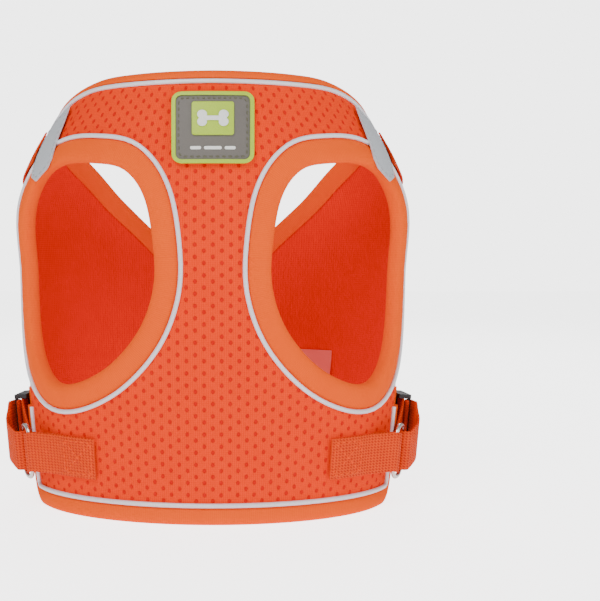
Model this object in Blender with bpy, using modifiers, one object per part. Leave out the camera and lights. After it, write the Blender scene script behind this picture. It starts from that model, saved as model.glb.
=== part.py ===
"""A step-in no pull harness for a small dog: an air mesh vest with padded leg openings.

Units are metres, +Z is up, the chest faces -Y and the back faces +Y. The vest stands on its hem
at z = 0, filled out to the shape that it has on the dog.

Soft pieces are cut flat and then wrapped. A pattern point is (u, z, w): u runs round the body from
the middle of the chest, positive towards +X, z is the height, and w is the distance out from the
inner face of the lining. wrap() turns a pattern point into a place on the body.
"""

import math

import bmesh
import bpy
import numpy as np
from mathutils import Matrix, Vector

# The body that the vest is cut for: half width and half depth at each height.
WIDTH_HEIGHTS = (0, 0.014, 0.046, 0.070, 0.118, 0.158, 0.178, 0.199, 0.210, 0.218)
HALF_WIDTHS = (0.0865, 0.0885, 0.0918, 0.0940, 0.0960, 0.0968, 0.0893, 0.0775, 0.0715, 0.064)
DEPTH_HEIGHTS = (0, 0.046, 0.118, 0.158, 0.178, 0.199, 0.218)
CHEST_DEPTHS = (0.059, 0.061, 0.062, 0.062, 0.060, 0.056, 0.050)
BACK_DEPTHS = (0.0640, 0.0635, 0.0625, 0.0620, 0.0610, 0.0590, 0.0560)
GIRTH_WIDTH, GIRTH_DEPTH = 0.100, 0.062  # the ellipse that u is measured round
CENTRE_Y = -0.00471  # sets the body so that the whole harness is centred on the origin

# Layers of the vest, as w.
LINING = (0.0, 0.0008)
MESH = (0.0013, 0.0043)
GAP = 0.0003

# Bindings, measured in from the cut edge, and the piping between a binding and its panel.
LEG_BINDING, NECK_BINDING, HEM_BINDING = 0.0120, 0.0044, 0.0082
NECK_INSIDE, NECK_INNER_W = 0.0105, -0.0012  # the neck binding's wider half, inside the vest
PIPING_RADIUS = 0.0010
PIPING_W = 0.0040
SEAM = 2 * (PIPING_RADIUS + GAP)  # the groove that holds the piping

# The edge of the leg opening on the dog's left, as (degrees round the body, height).
LEG_OPENING = (
    (16.6, 0.127), (19.0, 0.154), (26.5, 0.1690), (39.0, 0.1732), (55.0, 0.1728), (66.0, 0.164),
    (71.0, 0.140), (71.5, 0.108), (67.5, 0.082), (58.0, 0.0668), (46.5, 0.0650), (33.0, 0.0735),
    (23.0, 0.089), (17.8, 0.107),
)
# The neckline: high at the chest, over the shoulder, and down to a V at the back.
NECKLINE = (
    (0, 0.2180), (30, 0.2176), (50, 0.2168), (62, 0.2140), (72, 0.2095), (82, 0.2035), (96, 0.1970),
    (115, 0.1885), (134, 0.1755), (148, 0.1590), (160, 0.1420), (172, 0.1210), (180, 0.1080),
    (190, 0.1000),
)
SHOULDER_SEAM = 58.0  # degrees, where the chest and back panels meet under the reflective strip
CHEST_SIDE, BACK_SIDE = 83.0, 88.0  # degrees, the open side edges below the leg opening
SIDE_TOP = 0.050  # where those edges end, below the leg opening
CORNER = 0.012  # radius of the hem's corners
HINGE_ANGLE = 150.0  # degrees, where the back flaps bend open
FLAP_EDGE = 0.017  # how far each back flap passes the middle of the back
FLAP_LIFT = 0.0078  # how far the upper flap stands out where it lies on the lower one
FLAP_GROUND = 0.0008  # a flap's hem stays just off the ground, so that it swings free

# Webbing and hardware.
WEBBING_WIDTH, WEBBING = 0.020, 0.0011
STRAP_HEIGHT = 0.0295
STRAP_END, STRAP_TUCK = 37.0, 41.0  # degrees, where the chest strap's two layers end
RING_WIDTH, RING_HEIGHT, RING_CORNER, RING_WIRE = 0.0120, 0.0263, 0.0052, 0.0011
RING_ANGLE, RING_W = 71.0, 0.0106
CHEST_LOOP, SIDE_LOOP = 0.0024, 0.0039  # radii of the straps' loops; the side one lets the ring swing
SLIDER_ANGLE, SLIDER_HEIGHT = 96.0, 0.0425
SLIDER_LENGTH, SLIDER_RAIL, SLIDER_BAR = 0.0174, 0.0022, 0.0014
SLIDER_LIP = 0.0002  # how far the slider's rails stand past its bars
RUN_W = 0.0083  # the strap that the slider slides on, at its middle
END_LOOP = 0.0019  # radius of the strap end's loop round the slider's front bar
LEAD_RING_REACH, LEAD_RING_DEPTH, LEAD_RING_WIRE = 0.0130, 0.0165, 0.0014
LEAD_RING_W = 0.0078

# The patch on the chest, in true widths, and the bone on its block.
PATCH_CENTRE, PATCH_WIDTH, PATCH_HEIGHT, PATCH_CORNER = 0.1893, 0.0374, 0.0350, 0.0045
PATCH_RIM = 0.0019
EMBLEM_CENTRE, EMBLEM_WIDTH, EMBLEM_HEIGHT = 0.1935, 0.0190, 0.0164
KNOB, KNOB_U, KNOB_Z, SHAFT = 0.0022, 0.0048, 0.0018, 0.0011

# Trim on the panels, as (degrees, height).
STRIP_OUTLINE = (
    (64.0, 0.2040), (60.5, 0.1900), (57.5, 0.1765), (58.0, 0.1715), (63.0, 0.1655), (68.0, 0.1680),
    (70.5, 0.1735), (73.5, 0.1860), (75.0, 0.1960),
)
LABEL_BOX = (133.5, 148.0, 0.0565, 0.0735)  # degrees, degrees, height, height
BACK_WEBBING = (
    (78.0, 0.1840), (84, 0.1805), (92, 0.1765), (104, 0.1705), (118, 0.1630), (134, 0.1520),
    (144, 0.1410), (150, 0.1325), (157.5, 0.1190),
)
WEBBING_RISE, WEBBING_STEP = (90.0, 104.0), 0.0017  # degrees, and how far it stands off there
TAPE_HEIGHTS, TAPE_MARGIN = (0.016, 0.084), 0.0012

CELLS = (0.011, 0.016)  # the grid that a panel is cut from
LINING_CELLS = (0.016, 0.022)
FINE_CELLS = (0.009, 0.007)  # the same for trim, which lies closer to the curve


# ---------------------------------------------------------------- the scene

for old in list(bpy.data.objects):
    bpy.data.objects.remove(old, do_unlink=True)

harness = bpy.data.collections.new("no_pull_harness")
cutters = bpy.data.collections.new("cutters")
bpy.context.scene.collection.children.link(harness)
bpy.context.scene.collection.children.link(cutters)
cutters.hide_render = True


def material(name, colour, roughness, metallic=0.0):
    made = bpy.data.materials.new(name)
    made.use_nodes = True
    shader = made.node_tree.nodes["Principled BSDF"]
    shader.inputs["Base Color"].default_value = (*colour, 1)
    shader.inputs["Roughness"].default_value = roughness
    shader.inputs["Metallic"].default_value = metallic
    return made


AIR_MESH = material("air_mesh", (0.91, 0.14, 0.015), 0.85)
LINING_KNIT = material("lining_knit", (0.93, 0.06, 0.008), 0.8)
BINDING_KNIT = material("binding_knit", (0.95, 0.19, 0.035), 0.7)
ORANGE_WEBBING = material("orange_webbing", (0.91, 0.13, 0.012), 0.6)
PIPING = material("reflective_piping", (0.82, 0.82, 0.86), 0.45)
REFLECTIVE = material("reflective_grey", (0.58, 0.60, 0.64), 0.4)
RUBBER = material("patch_rubber", (0.21, 0.19, 0.16), 0.6)
LIME = material("lime_rubber", (0.38, 0.60, 0.07), 0.5)
WHITE = material("white_rubber", (0.85, 0.85, 0.82), 0.5)
STEEL = material("nickel_steel", (0.72, 0.70, 0.66), 0.25, 1.0)
BLACK = material("black_plastic", (0.03, 0.03, 0.03), 0.5)
TAPE = material("hook_and_loop", (0.80, 0.12, 0.02), 0.9)
LABEL = material("care_label", (0.93, 0.45, 0.42), 0.7)


def finish(obj, look, smooth=True):
    obj.data.materials.clear()
    obj.data.materials.append(look)
    if smooth and obj.type == "MESH":
        obj.data.shade_smooth()
        obj.data.set_sharp_from_angle(angle=math.radians(40))
    return obj


def mesh_object(name, mesh, collection=harness):
    obj = bpy.data.objects.new(name, mesh)
    collection.objects.link(obj)
    return obj


def evaluated_mesh(obj):
    bpy.context.view_layer.update()
    graph = bpy.context.evaluated_depsgraph_get()
    return bpy.data.meshes.new_from_object(obj.evaluated_get(graph))


# ---------------------------------------------------------------- the body's shape

def smooth_through(xs, ys, x):
    """The height at x of a smooth curve through the points."""
    i = int(np.clip(np.searchsorted(xs, x) - 1, 0, len(xs) - 2))
    slope = np.gradient(np.array(ys, float), np.array(xs, float))
    step = xs[i + 1] - xs[i]
    s = float(np.clip((x - xs[i]) / step, 0, 1))
    return (
        (2 * s**3 - 3 * s**2 + 1) * ys[i]
        + (s**3 - 2 * s**2 + s) * step * slope[i]
        + (3 * s**2 - 2 * s**3) * ys[i + 1]
        + (s**3 - s**2) * step * slope[i + 1]
    )


ANGLES = np.radians(np.arange(-220, 221))
STEPS = np.hypot(GIRTH_WIDTH * np.cos(ANGLES), GIRTH_DEPTH * np.sin(ANGLES)) * np.radians(1)
LENGTHS = np.cumsum(STEPS) - STEPS / 2
LENGTHS = LENGTHS - LENGTHS[220]


def u_at(degrees):
    return float(np.interp(math.radians(degrees), ANGLES, LENGTHS))


def angle_at(u):
    return float(np.interp(u, LENGTHS, ANGLES))


def section(angle, z):
    width = smooth_through(WIDTH_HEIGHTS, HALF_WIDTHS, z)
    depths = CHEST_DEPTHS if math.cos(angle) > 0 else BACK_DEPTHS
    return width, smooth_through(DEPTH_HEIGHTS, depths, z)


def surface(angle, z):
    width, depth = section(angle, z)
    return Vector((width * math.sin(angle), CENTRE_Y - depth * math.cos(angle), z))


def outward(angle, z):
    """The direction out of the body's surface. It is kept level, so that layers keep their heights."""
    width, depth = section(angle, z)
    return Vector((math.sin(angle) / width, -math.cos(angle) / depth, 0)).normalized()


def wrap(u, z, w):
    angle = angle_at(u)
    return surface(angle, z) + outward(angle, z) * w


HALF_GIRTH = u_at(180)
HINGE_U = u_at(HINGE_ANGLE)


def flap_lift(u):
    """How far the upper flap stands off the body: nothing at its hinge, all of it at the middle."""
    start, end = u_at(HINGE_ANGLE + 0.6), u_at(168.5)
    return FLAP_LIFT * min(max((abs(u) - start) / (end - start), 0), 1)


def upward(angle, z, step=0.01):
    """The direction up along the body's surface."""
    return (surface(angle, z + step) - surface(angle, z - step)).normalized()


# ---------------------------------------------------------------- paths on the pattern

def spline(points, closed, spacing):
    """Evenly spaced points on a smooth curve through the given ones."""
    points = np.array(points, float)
    count = len(points)
    dense = []
    for i in range(count if closed else count - 1):
        if closed:
            p0, p1, p2, p3 = (points[(i + k) % count] for k in (-1, 0, 1, 2))
        else:
            p0, p1, p2, p3 = (points[min(max(i + k, 0), count - 1)] for k in (-1, 0, 1, 2))
        for s in np.linspace(0, 1, 24, endpoint=False):
            dense.append(
                0.5 * ((2 * p1) + (p2 - p0) * s + (2 * p0 - 5 * p1 + 4 * p2 - p3) * s**2
                       + (3 * p1 - p0 - 3 * p2 + p3) * s**3)
            )
    dense.append(points[0] if closed else points[-1])
    dense = np.array(dense)
    along = np.concatenate([[0], np.cumsum(np.linalg.norm(np.diff(dense, axis=0), axis=1))])
    stations = np.linspace(0, along[-1], max(2, round(along[-1] / spacing)) + 1)
    if closed:
        stations = stations[:-1]
    return np.stack([np.interp(stations, along, dense[:, k]) for k in range(dense.shape[1])], 1)


def normals(path, closed):
    """The direction to the left of travel at each point of a path."""
    if closed:
        ahead = np.roll(path, -1, axis=0) - np.roll(path, 1, axis=0)
    else:
        ahead = np.gradient(path, axis=0)
    ahead = ahead / np.linalg.norm(ahead, axis=1)[:, None]
    return np.stack([-ahead[:, 1], ahead[:, 0]], 1)


def offset(path, distance, closed=False):
    return path + normals(path, closed) * distance


def on_pattern(points):
    return [(u_at(degrees), z) for degrees, z in points]


def mirrored(points):
    """The same path on the other side of the body, running the same way round."""
    return np.array([(-u, z) for u, z in points[::-1]])


def arc(centre, radius, start, end, steps=5):
    turns = np.radians(np.linspace(start, end, steps))
    return [(centre[0] + radius * math.cos(a), centre[1] + radius * math.sin(a)) for a in turns]


def rounded_box(centre, width, height, radius):
    u, z = centre
    reach_u, reach_z = width / 2 - radius, height / 2 - radius
    corners = ((1, 1, 0), (-1, 1, 90), (-1, -1, 180), (1, -1, 270))
    points = []
    for side, up, turn in corners:
        points += arc((u + side * reach_u, z + up * reach_z), radius, turn, turn + 90)
    return points


neck_half = spline(on_pattern(NECKLINE), False, 0.010)


def neck_path(first, last, distance=0.0):
    """The neckline from one angle to another, moved down off the edge by a distance."""
    whole = np.concatenate([mirrored(neck_half)[:-1], neck_half])
    whole = offset(whole, -distance)
    low, high = u_at(first), u_at(last)
    inner = whole[(whole[:, 0] > low + 0.002) & (whole[:, 0] < high - 0.002)]
    ends = [(u, np.interp(u, whole[:, 0], whole[:, 1])) for u in (low, high)]
    return np.array([ends[0], *inner, ends[1]])


leg_edge = spline(on_pattern(LEG_OPENING), True, 0.011)
LEG_CUT = LEG_BINDING + SEAM


def leg_path(side, distance):
    """The outline of a leg opening, moved out from its edge. side is 1 at +X and -1 at -X."""
    path = offset(leg_edge, distance, True)
    return path if side > 0 else mirrored(path)


# ---------------------------------------------------------------- making solids

def prism(name, outline, low, high):
    """A flat outline with a height, made a mesh so that it can cut."""
    curve = bpy.data.curves.new(name, "CURVE")
    curve.dimensions = "2D"
    curve.fill_mode = "BOTH"
    curve.extrude = (high - low) / 2
    line = curve.splines.new("POLY")
    line.points.add(len(outline) - 1)
    for point, (u, z) in zip(line.points, outline):
        point.co = (u, z, 0, 1)
    line.use_cyclic_u = True
    shape = mesh_object(name, curve, cutters)
    mesh = evaluated_mesh(shape)
    bpy.data.objects.remove(shape)
    mesh.transform(Matrix.Translation((0, 0, (low + high) / 2)))
    work = bmesh.new()
    work.from_mesh(mesh)
    bmesh.ops.remove_doubles(work, verts=work.verts, dist=1e-6)
    bmesh.ops.recalc_face_normals(work, faces=work.faces)
    work.to_mesh(mesh)
    work.free()
    made = mesh_object(name, mesh, cutters)
    made.hide_render = True
    made.display_type = "WIRE"
    return made


def grid_slab(name, outline, low, high, cells):
    """A slab with a grid on both faces, a little larger than the outline."""
    outline = np.array(outline)
    (u0, z0), (u1, z1) = outline.min(0) - 0.002, outline.max(0) + 0.002
    across = max(1, round((u1 - u0) / cells[0]))
    up = max(1, round((z1 - z0) / cells[1]))
    work = bmesh.new()
    bmesh.ops.create_grid(work, x_segments=across, y_segments=up, size=0.5)
    bmesh.ops.scale(work, vec=(u1 - u0, z1 - z0, 1), verts=work.verts)
    bmesh.ops.translate(work, vec=((u0 + u1) / 2, (z0 + z1) / 2, low), verts=work.verts)
    grown = bmesh.ops.extrude_face_region(work, geom=work.faces[:])
    raised = [item for item in grown["geom"] if isinstance(item, bmesh.types.BMVert)]
    bmesh.ops.translate(work, vec=(0, 0, high - low), verts=raised)
    bmesh.ops.recalc_face_normals(work, faces=work.faces)
    mesh = bpy.data.meshes.new(name)
    work.to_mesh(mesh)
    work.free()
    return mesh_object(name, mesh, cutters)


def panel(name, look, outline, layer, holes=(), lift=None, cells=CELLS, level=False):
    """A layer cut flat to its outline, with its holes, and then wrapped round the body.

    A level piece keeps its width at every height, where the body narrows towards the neck.
    """
    low, high = layer
    slab = grid_slab(name + "_flat", outline, low, high, cells)
    cuts = [("INTERSECT", prism(name + "_outline", outline, low - 0.01, high + 0.01))]
    for i, hole in enumerate(holes):
        cuts.append(("DIFFERENCE", prism(f"{name}_hole{i}", hole, low - 0.01, high + 0.01)))
    for operation, cutter in cuts:
        cut = slab.modifiers.new(operation.lower(), "BOOLEAN")
        cut.operation = operation
        cut.object = cutter
        cut.solver = "EXACT"
    mesh = evaluated_mesh(slab)
    bpy.data.objects.remove(slab)
    for _, cutter in cuts:
        bpy.data.objects.remove(cutter)
    mesh.name = name
    for vertex in mesh.vertices:
        u, z, w = vertex.co
        if level:
            u *= GIRTH_WIDTH / section(0, z)[0]
        vertex.co = wrap(u, z, w + (lift(u) if lift else 0))
    return finish(mesh_object(name, mesh), look)


def sweep(name, look, path, section_points, closed, lift=None):
    """A section of (distance in from the edge, w) points carried along a path on the body."""
    sides = normals(path, closed)
    work = bmesh.new()
    rings = []
    for (u, z), (side_u, side_z) in zip(path, sides):
        ring = []
        for d, w in section_points:
            at = u + side_u * d
            ring.append(work.verts.new(wrap(at, z + side_z * d, w + (lift(at) if lift else 0))))
        rings.append(ring)
    size = len(section_points)
    for i in range(len(rings) if closed else len(rings) - 1):
        here, there = rings[i], rings[(i + 1) % len(rings)]
        for k in range(size):
            work.faces.new((here[k], here[(k + 1) % size], there[(k + 1) % size], there[k]))
    if not closed:
        work.faces.new(rings[0][::-1])
        work.faces.new(rings[-1])
    bmesh.ops.recalc_face_normals(work, faces=work.faces)
    mesh = bpy.data.meshes.new(name)
    work.to_mesh(mesh)
    work.free()
    return finish(mesh_object(name, mesh), look)


def roll(width, low, high):
    """The section of a padded binding: rounded at the cut edge, square at its seam."""
    middle = (low + high) / 2
    return (
        (0.0, middle), (0.08 * width, middle + 0.32 * (high - low)), (0.34 * width, high),
        (width, high - 0.0012), (width, low + 0.0006), (0.34 * width, low),
        (0.08 * width, middle - 0.32 * (high - low)),
    )


def neck_roll(low, high):
    """The neck's section: narrow outside the vest, and wide inside over the lining."""
    middle, inner, outer = (low + high) / 2, NECK_INNER_W - 0.0006, NECK_INNER_W
    return (
        (0.0, middle), (0.0004, middle + 0.32 * (high - low)), (0.0015, high),
        (NECK_BINDING, high - 0.0012), (NECK_BINDING, outer), (NECK_INSIDE, outer),
        (NECK_INSIDE, inner), (0.0015, inner), (0.0004, middle - 0.32 * (high - low)),
    )


def hem_roll(width, low, high):
    """The same, with a flat foot that the vest stands on."""
    return (
        (0.0, low + 0.0018), (0.0, high - 0.0018), (0.0022, high), (width, high - 0.0012),
        (width, low + 0.0006), (0.0022, low),
    )


def wire(name, look, points, radius, closed=True, resolution=1):
    """Round wire or piping along a line of points."""
    curve = bpy.data.curves.new(name, "CURVE")
    curve.dimensions = "3D"
    curve.bevel_depth = radius
    curve.bevel_resolution = resolution
    curve.use_fill_caps = not closed
    line = curve.splines.new("POLY")
    line.points.add(len(points) - 1)
    for point, place in zip(line.points, points):
        point.co = (*place, 1)
    line.use_cyclic_u = closed
    obj = mesh_object(name, curve)
    curve.materials.append(look)
    return obj


def piping(name, path, closed, lift=None):
    places = [wrap(u, z, PIPING_W + (lift(u) if lift else 0)) for u, z in path]
    return wire(name, PIPING, places, PIPING_RADIUS, closed)


def ribbon(name, look, centres, across, width, thickness):
    """A strap: an open strip along its middle line, given its thickness by Solidify."""
    work = bmesh.new()
    rows = []
    for centre, side in zip(centres, across):
        reach = Vector(side).normalized() * width / 2
        rows.append([work.verts.new(Vector(centre) - reach), work.verts.new(Vector(centre) + reach)])
    for here, there in zip(rows, rows[1:]):
        work.faces.new((here[0], here[1], there[1], there[0]))
    mesh = bpy.data.meshes.new(name)
    work.to_mesh(mesh)
    work.free()
    obj = mesh_object(name, mesh)
    solid = obj.modifiers.new("thickness", "SOLIDIFY")
    solid.thickness = thickness
    solid.offset = 0
    solid.use_even_offset = True
    return finish(obj, look, smooth=False)


def joined(name, look, pieces):
    """Mesh pieces made one body by Boolean unions."""
    base = pieces[0]
    for extra in pieces[1:]:
        union = base.modifiers.new("union", "BOOLEAN")
        union.operation = "UNION"
        union.object = extra
        union.solver = "EXACT"
    mesh = evaluated_mesh(base)
    for piece in pieces:
        bpy.data.objects.remove(piece)
    mesh.name = name
    return finish(mesh_object(name, mesh), look)


def block(size, centre, axes):
    """A box with its own axes, as a loose mesh for joined()."""
    work = bmesh.new()
    bmesh.ops.create_cube(work, size=1)
    turn = Matrix(axes).transposed().to_4x4()
    bmesh.ops.scale(work, vec=size, verts=work.verts)
    bmesh.ops.transform(work, matrix=Matrix.Translation(centre) @ turn, verts=work.verts)
    bmesh.ops.recalc_face_normals(work, faces=work.faces)
    mesh = bpy.data.meshes.new("block")
    work.to_mesh(mesh)
    work.free()
    return mesh_object("block", mesh, cutters)


# ---------------------------------------------------------------- panels

SIDES = (("left", 1), ("right", -1))  # the dog's left is at +X


def sided(path, side):
    return path if side > 0 else mirrored(path)


def chest_outline():
    """The chest panel: hem, side edge, leg opening, shoulder seam and neckline."""
    edge = u_at(CHEST_SIDE) - HEM_BINDING - SEAM
    foot = HEM_BINDING + SEAM
    shoulder = u_at(SHOULDER_SEAM) - GAP
    neck = neck_path(-SHOULDER_SEAM, SHOULDER_SEAM, NECK_BINDING + SEAM)
    neck[0][0], neck[-1][0] = -shoulder, shoulder
    right = [
        *arc((edge - CORNER / 3, foot + CORNER / 3), CORNER / 3, 270, 360, 3),
        (edge, 0.082),
        (shoulder, 0.082),
    ]
    left = [(-u, z) for u, z in right[::-1]]
    return [*right, *neck[::-1], *left]


def back_side_outline(side):
    """The part of a back panel from the shoulder and the side to the line where the flap bends."""
    edge = u_at(BACK_SIDE) + HEM_BINDING + GAP
    foot = HEM_BINDING + GAP
    shoulder = u_at(SHOULDER_SEAM) + GAP
    neck = neck_path(SHOULDER_SEAM, HINGE_ANGLE, NECK_BINDING + SEAM)
    neck[0][0], neck[-1][0] = shoulder, HINGE_U - GAP
    path = [
        (HINGE_U - GAP, foot),
        *neck[::-1],
        (shoulder, 0.120),
        (u_at(76), 0.090),
        (edge, SIDE_TOP + 0.012),
        *arc((edge + CORNER / 3, foot + CORNER / 3), CORNER / 3, 180, 270, 3),
    ]
    return sided(np.array(path), side)


def flap_outline(side):
    """The part of a back panel that swings: from the bend line past the middle of the back."""
    edge = HALF_GIRTH + FLAP_EDGE - HEM_BINDING - GAP
    foot = HEM_BINDING + GAP + FLAP_GROUND
    end = math.degrees(angle_at(HALF_GIRTH + FLAP_EDGE - HEM_BINDING - GAP))
    neck = neck_path(HINGE_ANGLE, end, NECK_BINDING + GAP)
    neck[0][0], neck[-1][0] = HINGE_U + GAP, edge
    path = [
        (HINGE_U + GAP, foot),
        *arc((edge - CORNER / 3, foot + CORNER / 3), CORNER / 3, 270, 360, 3),
        *neck[::-1],
    ]
    return sided(np.array(path), side)


leg_holes = [leg_path(side, LEG_CUT) for _, side in SIDES]
panel("chest_panel", AIR_MESH, chest_outline(), MESH, leg_holes)
panel("chest_lining", LINING_KNIT, chest_outline(), LINING, leg_holes, cells=LINING_CELLS)
for label, side in SIDES:
    hole = leg_path(side, LEG_CUT)
    rise = flap_lift if label == "right" else None
    panel(f"{label}_back_panel", AIR_MESH, back_side_outline(side), MESH, [hole])
    panel(f"{label}_back_lining", LINING_KNIT, back_side_outline(side), LINING, [hole])
    panel(f"{label}_flap_panel", AIR_MESH, flap_outline(side), MESH, lift=rise)
    panel(f"{label}_flap_lining", LINING_KNIT, flap_outline(side), LINING, lift=rise,
          cells=LINING_CELLS)

# ---------------------------------------------------------------- bindings and piping

BINDING_LOW, BINDING_HIGH = -0.0014, 0.0058
FLAP_LOW, FLAP_HIGH = -0.0006, 0.0050


def hem_path(angle_edge, angle_end, ground=0.0, top=SIDE_TOP):
    """From the top of a side edge, down, round the hem's corner and along the hem."""
    edge, end = u_at(angle_edge), u_at(angle_end)
    turn = 1 if end > edge else -1
    corner = arc((edge + CORNER, ground + CORNER), CORNER, 180, 270, 6)
    if turn < 0:
        corner = [(2 * edge - u, z) for u, z in corner]
    down = [(edge, z) for z in np.linspace(top, ground + CORNER, 5)[:-1]]
    steps = max(2, round(abs(end - edge) / 0.0095))
    along = [(u, ground) for u in np.linspace(edge + turn * CORNER, end, steps)[1:]]
    return np.array([*down, *corner, *along])


def chest_hem(distance=0.0):
    """The chest's hem runs up both open side edges. The path keeps the panel on its left."""
    half = hem_path(CHEST_SIDE, 0)
    whole = np.concatenate([[(-u, z) for u, z in half[:-1]], half[::-1]])
    return offset(whole, distance)


def back_hem(side, distance=0.0):
    path = offset(hem_path(BACK_SIDE, HINGE_ANGLE - 0.3, top=SIDE_TOP + 0.008), distance)
    return path if side > 0 else mirrored(path)


def flap_hem(side):
    edge = HALF_GIRTH + FLAP_EDGE
    neck_at = neck_path(HINGE_ANGLE, 195, NECK_BINDING)
    top = float(np.interp(edge - HEM_BINDING, neck_at[:, 0], neck_at[:, 1])) - 0.0055
    down = [(edge, z) for z in np.linspace(top, FLAP_GROUND + CORNER, 8)[:-1]]
    corner = [(2 * edge - u, z) for u, z in arc((edge + CORNER, FLAP_GROUND + CORNER), CORNER, 180, 270, 6)]
    start = HINGE_U + GAP
    along = [(u, FLAP_GROUND) for u in np.linspace(edge - CORNER, start, 6)[1:]]
    path = np.array([*down, *corner, *along])[::-1]
    return sided(path, side)


sweep("chest_hem_binding", BINDING_KNIT, chest_hem(),
      hem_roll(HEM_BINDING, BINDING_LOW, BINDING_HIGH), False)
piping("hem_piping", chest_hem(HEM_BINDING + SEAM / 2), False)
front_neck = neck_path(-HINGE_ANGLE + 0.3, HINGE_ANGLE - 0.3)[::-1]
sweep("neck_binding", BINDING_KNIT, front_neck, neck_roll(BINDING_LOW, BINDING_HIGH), False)
piping("neck_piping", neck_path(-HINGE_ANGLE + 0.6, HINGE_ANGLE - 0.6, NECK_BINDING + SEAM / 2), False)

for label, side in SIDES:
    rise = flap_lift if label == "right" else None
    sweep(f"{label}_leg_binding", BINDING_KNIT, leg_path(side, 0),
          roll(LEG_BINDING, BINDING_LOW, BINDING_HIGH), True)
    piping(f"{label}_leg_piping", leg_path(side, LEG_BINDING + SEAM / 2), True)
    sweep(f"{label}_back_hem_binding", BINDING_KNIT, back_hem(side),
          hem_roll(HEM_BINDING, BINDING_LOW, BINDING_HIGH), False)
    sweep(f"{label}_flap_hem_binding", BINDING_KNIT, flap_hem(side),
          hem_roll(HEM_BINDING, FLAP_LOW, FLAP_HIGH), False, rise)
    flap_neck = sided(neck_path(HINGE_ANGLE + 0.3, math.degrees(angle_at(HALF_GIRTH + FLAP_EDGE))), side)
    sweep(f"{label}_flap_neck_binding", BINDING_KNIT, flap_neck[::-1],
          neck_roll(FLAP_LOW, FLAP_HIGH), False, rise)

# ---------------------------------------------------------------- trim on the panels

for label, side in SIDES:
    strip = on_pattern(STRIP_OUTLINE)
    panel(f"{label}_shoulder_reflector", REFLECTIVE, sided(np.array(strip), side), (0.0061, 0.0067),
          cells=FINE_CELLS)

first, last, low, high = LABEL_BOX
label_box = rounded_box(((u_at(first) + u_at(last)) / 2, (low + high) / 2),
                        u_at(last) - u_at(first), high - low, 0.0008)
panel("care_label", LABEL, label_box, (-0.0009, -0.0003), cells=FINE_CELLS)


def tape(name, side, layer, lift):
    """One half of the hook and loop closure, as a rectangle near a flap's free edge."""
    start, end = HALF_GIRTH - FLAP_EDGE, HALF_GIRTH + FLAP_EDGE - HEM_BINDING - TAPE_MARGIN
    low, high = TAPE_HEIGHTS
    box = rounded_box(((start + end) / 2, (low + high) / 2), end - start, high - low, 0.002)
    panel(name, TAPE, sided(np.array(box), side), layer, lift=lift)


tape("loop_tape", 1, (0.0046, 0.0056), None)
tape("hook_tape", -1, (-0.0014, -0.0004), flap_lift)

# ---------------------------------------------------------------- the patch

def bone_outline(centre):
    """A plain dog bone: a shaft with two knobs at each end."""
    meet = math.degrees(math.asin((SHAFT - KNOB_Z) / KNOB))
    notch = math.degrees(math.asin(-KNOB_Z / KNOB))
    upper = arc((KNOB_U, KNOB_Z), KNOB, notch, 180 - meet, 9)
    right = [(u, -z) for u, z in upper[::-1]][:-1] + upper
    left = [(-u, -z) for u, z in right]
    return [(u, z + centre) for u, z in right + left]


patch_at = (0, PATCH_CENTRE)
rim_corner = PATCH_CORNER - PATCH_RIM
rim_outer = rounded_box(patch_at, PATCH_WIDTH, PATCH_HEIGHT, PATCH_CORNER)
rim_inner = rounded_box(patch_at, PATCH_WIDTH - 2 * PATCH_RIM, PATCH_HEIGHT - 2 * PATCH_RIM, rim_corner)
inside = 2 * (PATCH_RIM + GAP)
base = rounded_box(patch_at, PATCH_WIDTH - inside, PATCH_HEIGHT - inside, rim_corner)
emblem = rounded_box((0, EMBLEM_CENTRE), EMBLEM_WIDTH, EMBLEM_HEIGHT, 0.0012)
panel("patch_base", RUBBER, base, (0.0047, 0.0062), cells=FINE_CELLS, level=True)
panel("patch_rim", LIME, rim_outer, (0.0047, 0.0070), [rim_inner], cells=FINE_CELLS, level=True)
panel("patch_emblem", LIME, emblem, (0.0066, 0.0071), cells=FINE_CELLS, level=True)
panel("patch_bone", WHITE, bone_outline(EMBLEM_CENTRE), (0.0075, 0.0080), cells=FINE_CELLS, level=True)

# ---------------------------------------------------------------- straps, rings and sliders


class Station:
    """A flat frame on the body: along runs to the back, up runs up the body and out leaves it."""

    def __init__(self, degrees, z, side):
        angle = math.radians(degrees) * side
        self.foot = surface(angle, z)
        self.up = upward(angle, z)
        level = outward(angle, z)
        self.out = (level - self.up * level.dot(self.up)).normalized()
        self.along = self.up.cross(self.out) * side

    def at(self, along, out, up=0.0):
        return self.foot + self.along * along + self.out * out + self.up * up

    def half_turn(self, centre, out, radius, direction, steps):
        """Half a turn round a bar, from its inner side to its outer side."""
        turns = np.radians(np.linspace(-90, 90, steps))
        return [
            self.at(centre + direction * radius * math.cos(a), out + radius * math.sin(a))
            for a in turns
        ]


def on_body(side, stretches):
    """Places on the body, and the way up there, from (degrees, height, w)."""
    places = []
    for degrees, z, w in stretches:
        angle = math.radians(degrees) * side
        places.append((surface(angle, z) + outward(angle, z) * w, upward(angle, z)))
    return places


def with_up(places, up):
    return [(place, up) for place in places]


def strap(name, places):
    centres, ups = zip(*places)
    return ribbon(name, ORANGE_WEBBING, centres, ups, WEBBING_WIDTH, WEBBING)


LAYER_IN = MESH[1] + GAP + WEBBING / 2 + 0.0001
LAYER_OUT = LAYER_IN + WEBBING + GAP
FRONT_BAR_W = RUN_W + WEBBING + GAP + 0.0001 + END_LOOP


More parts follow.
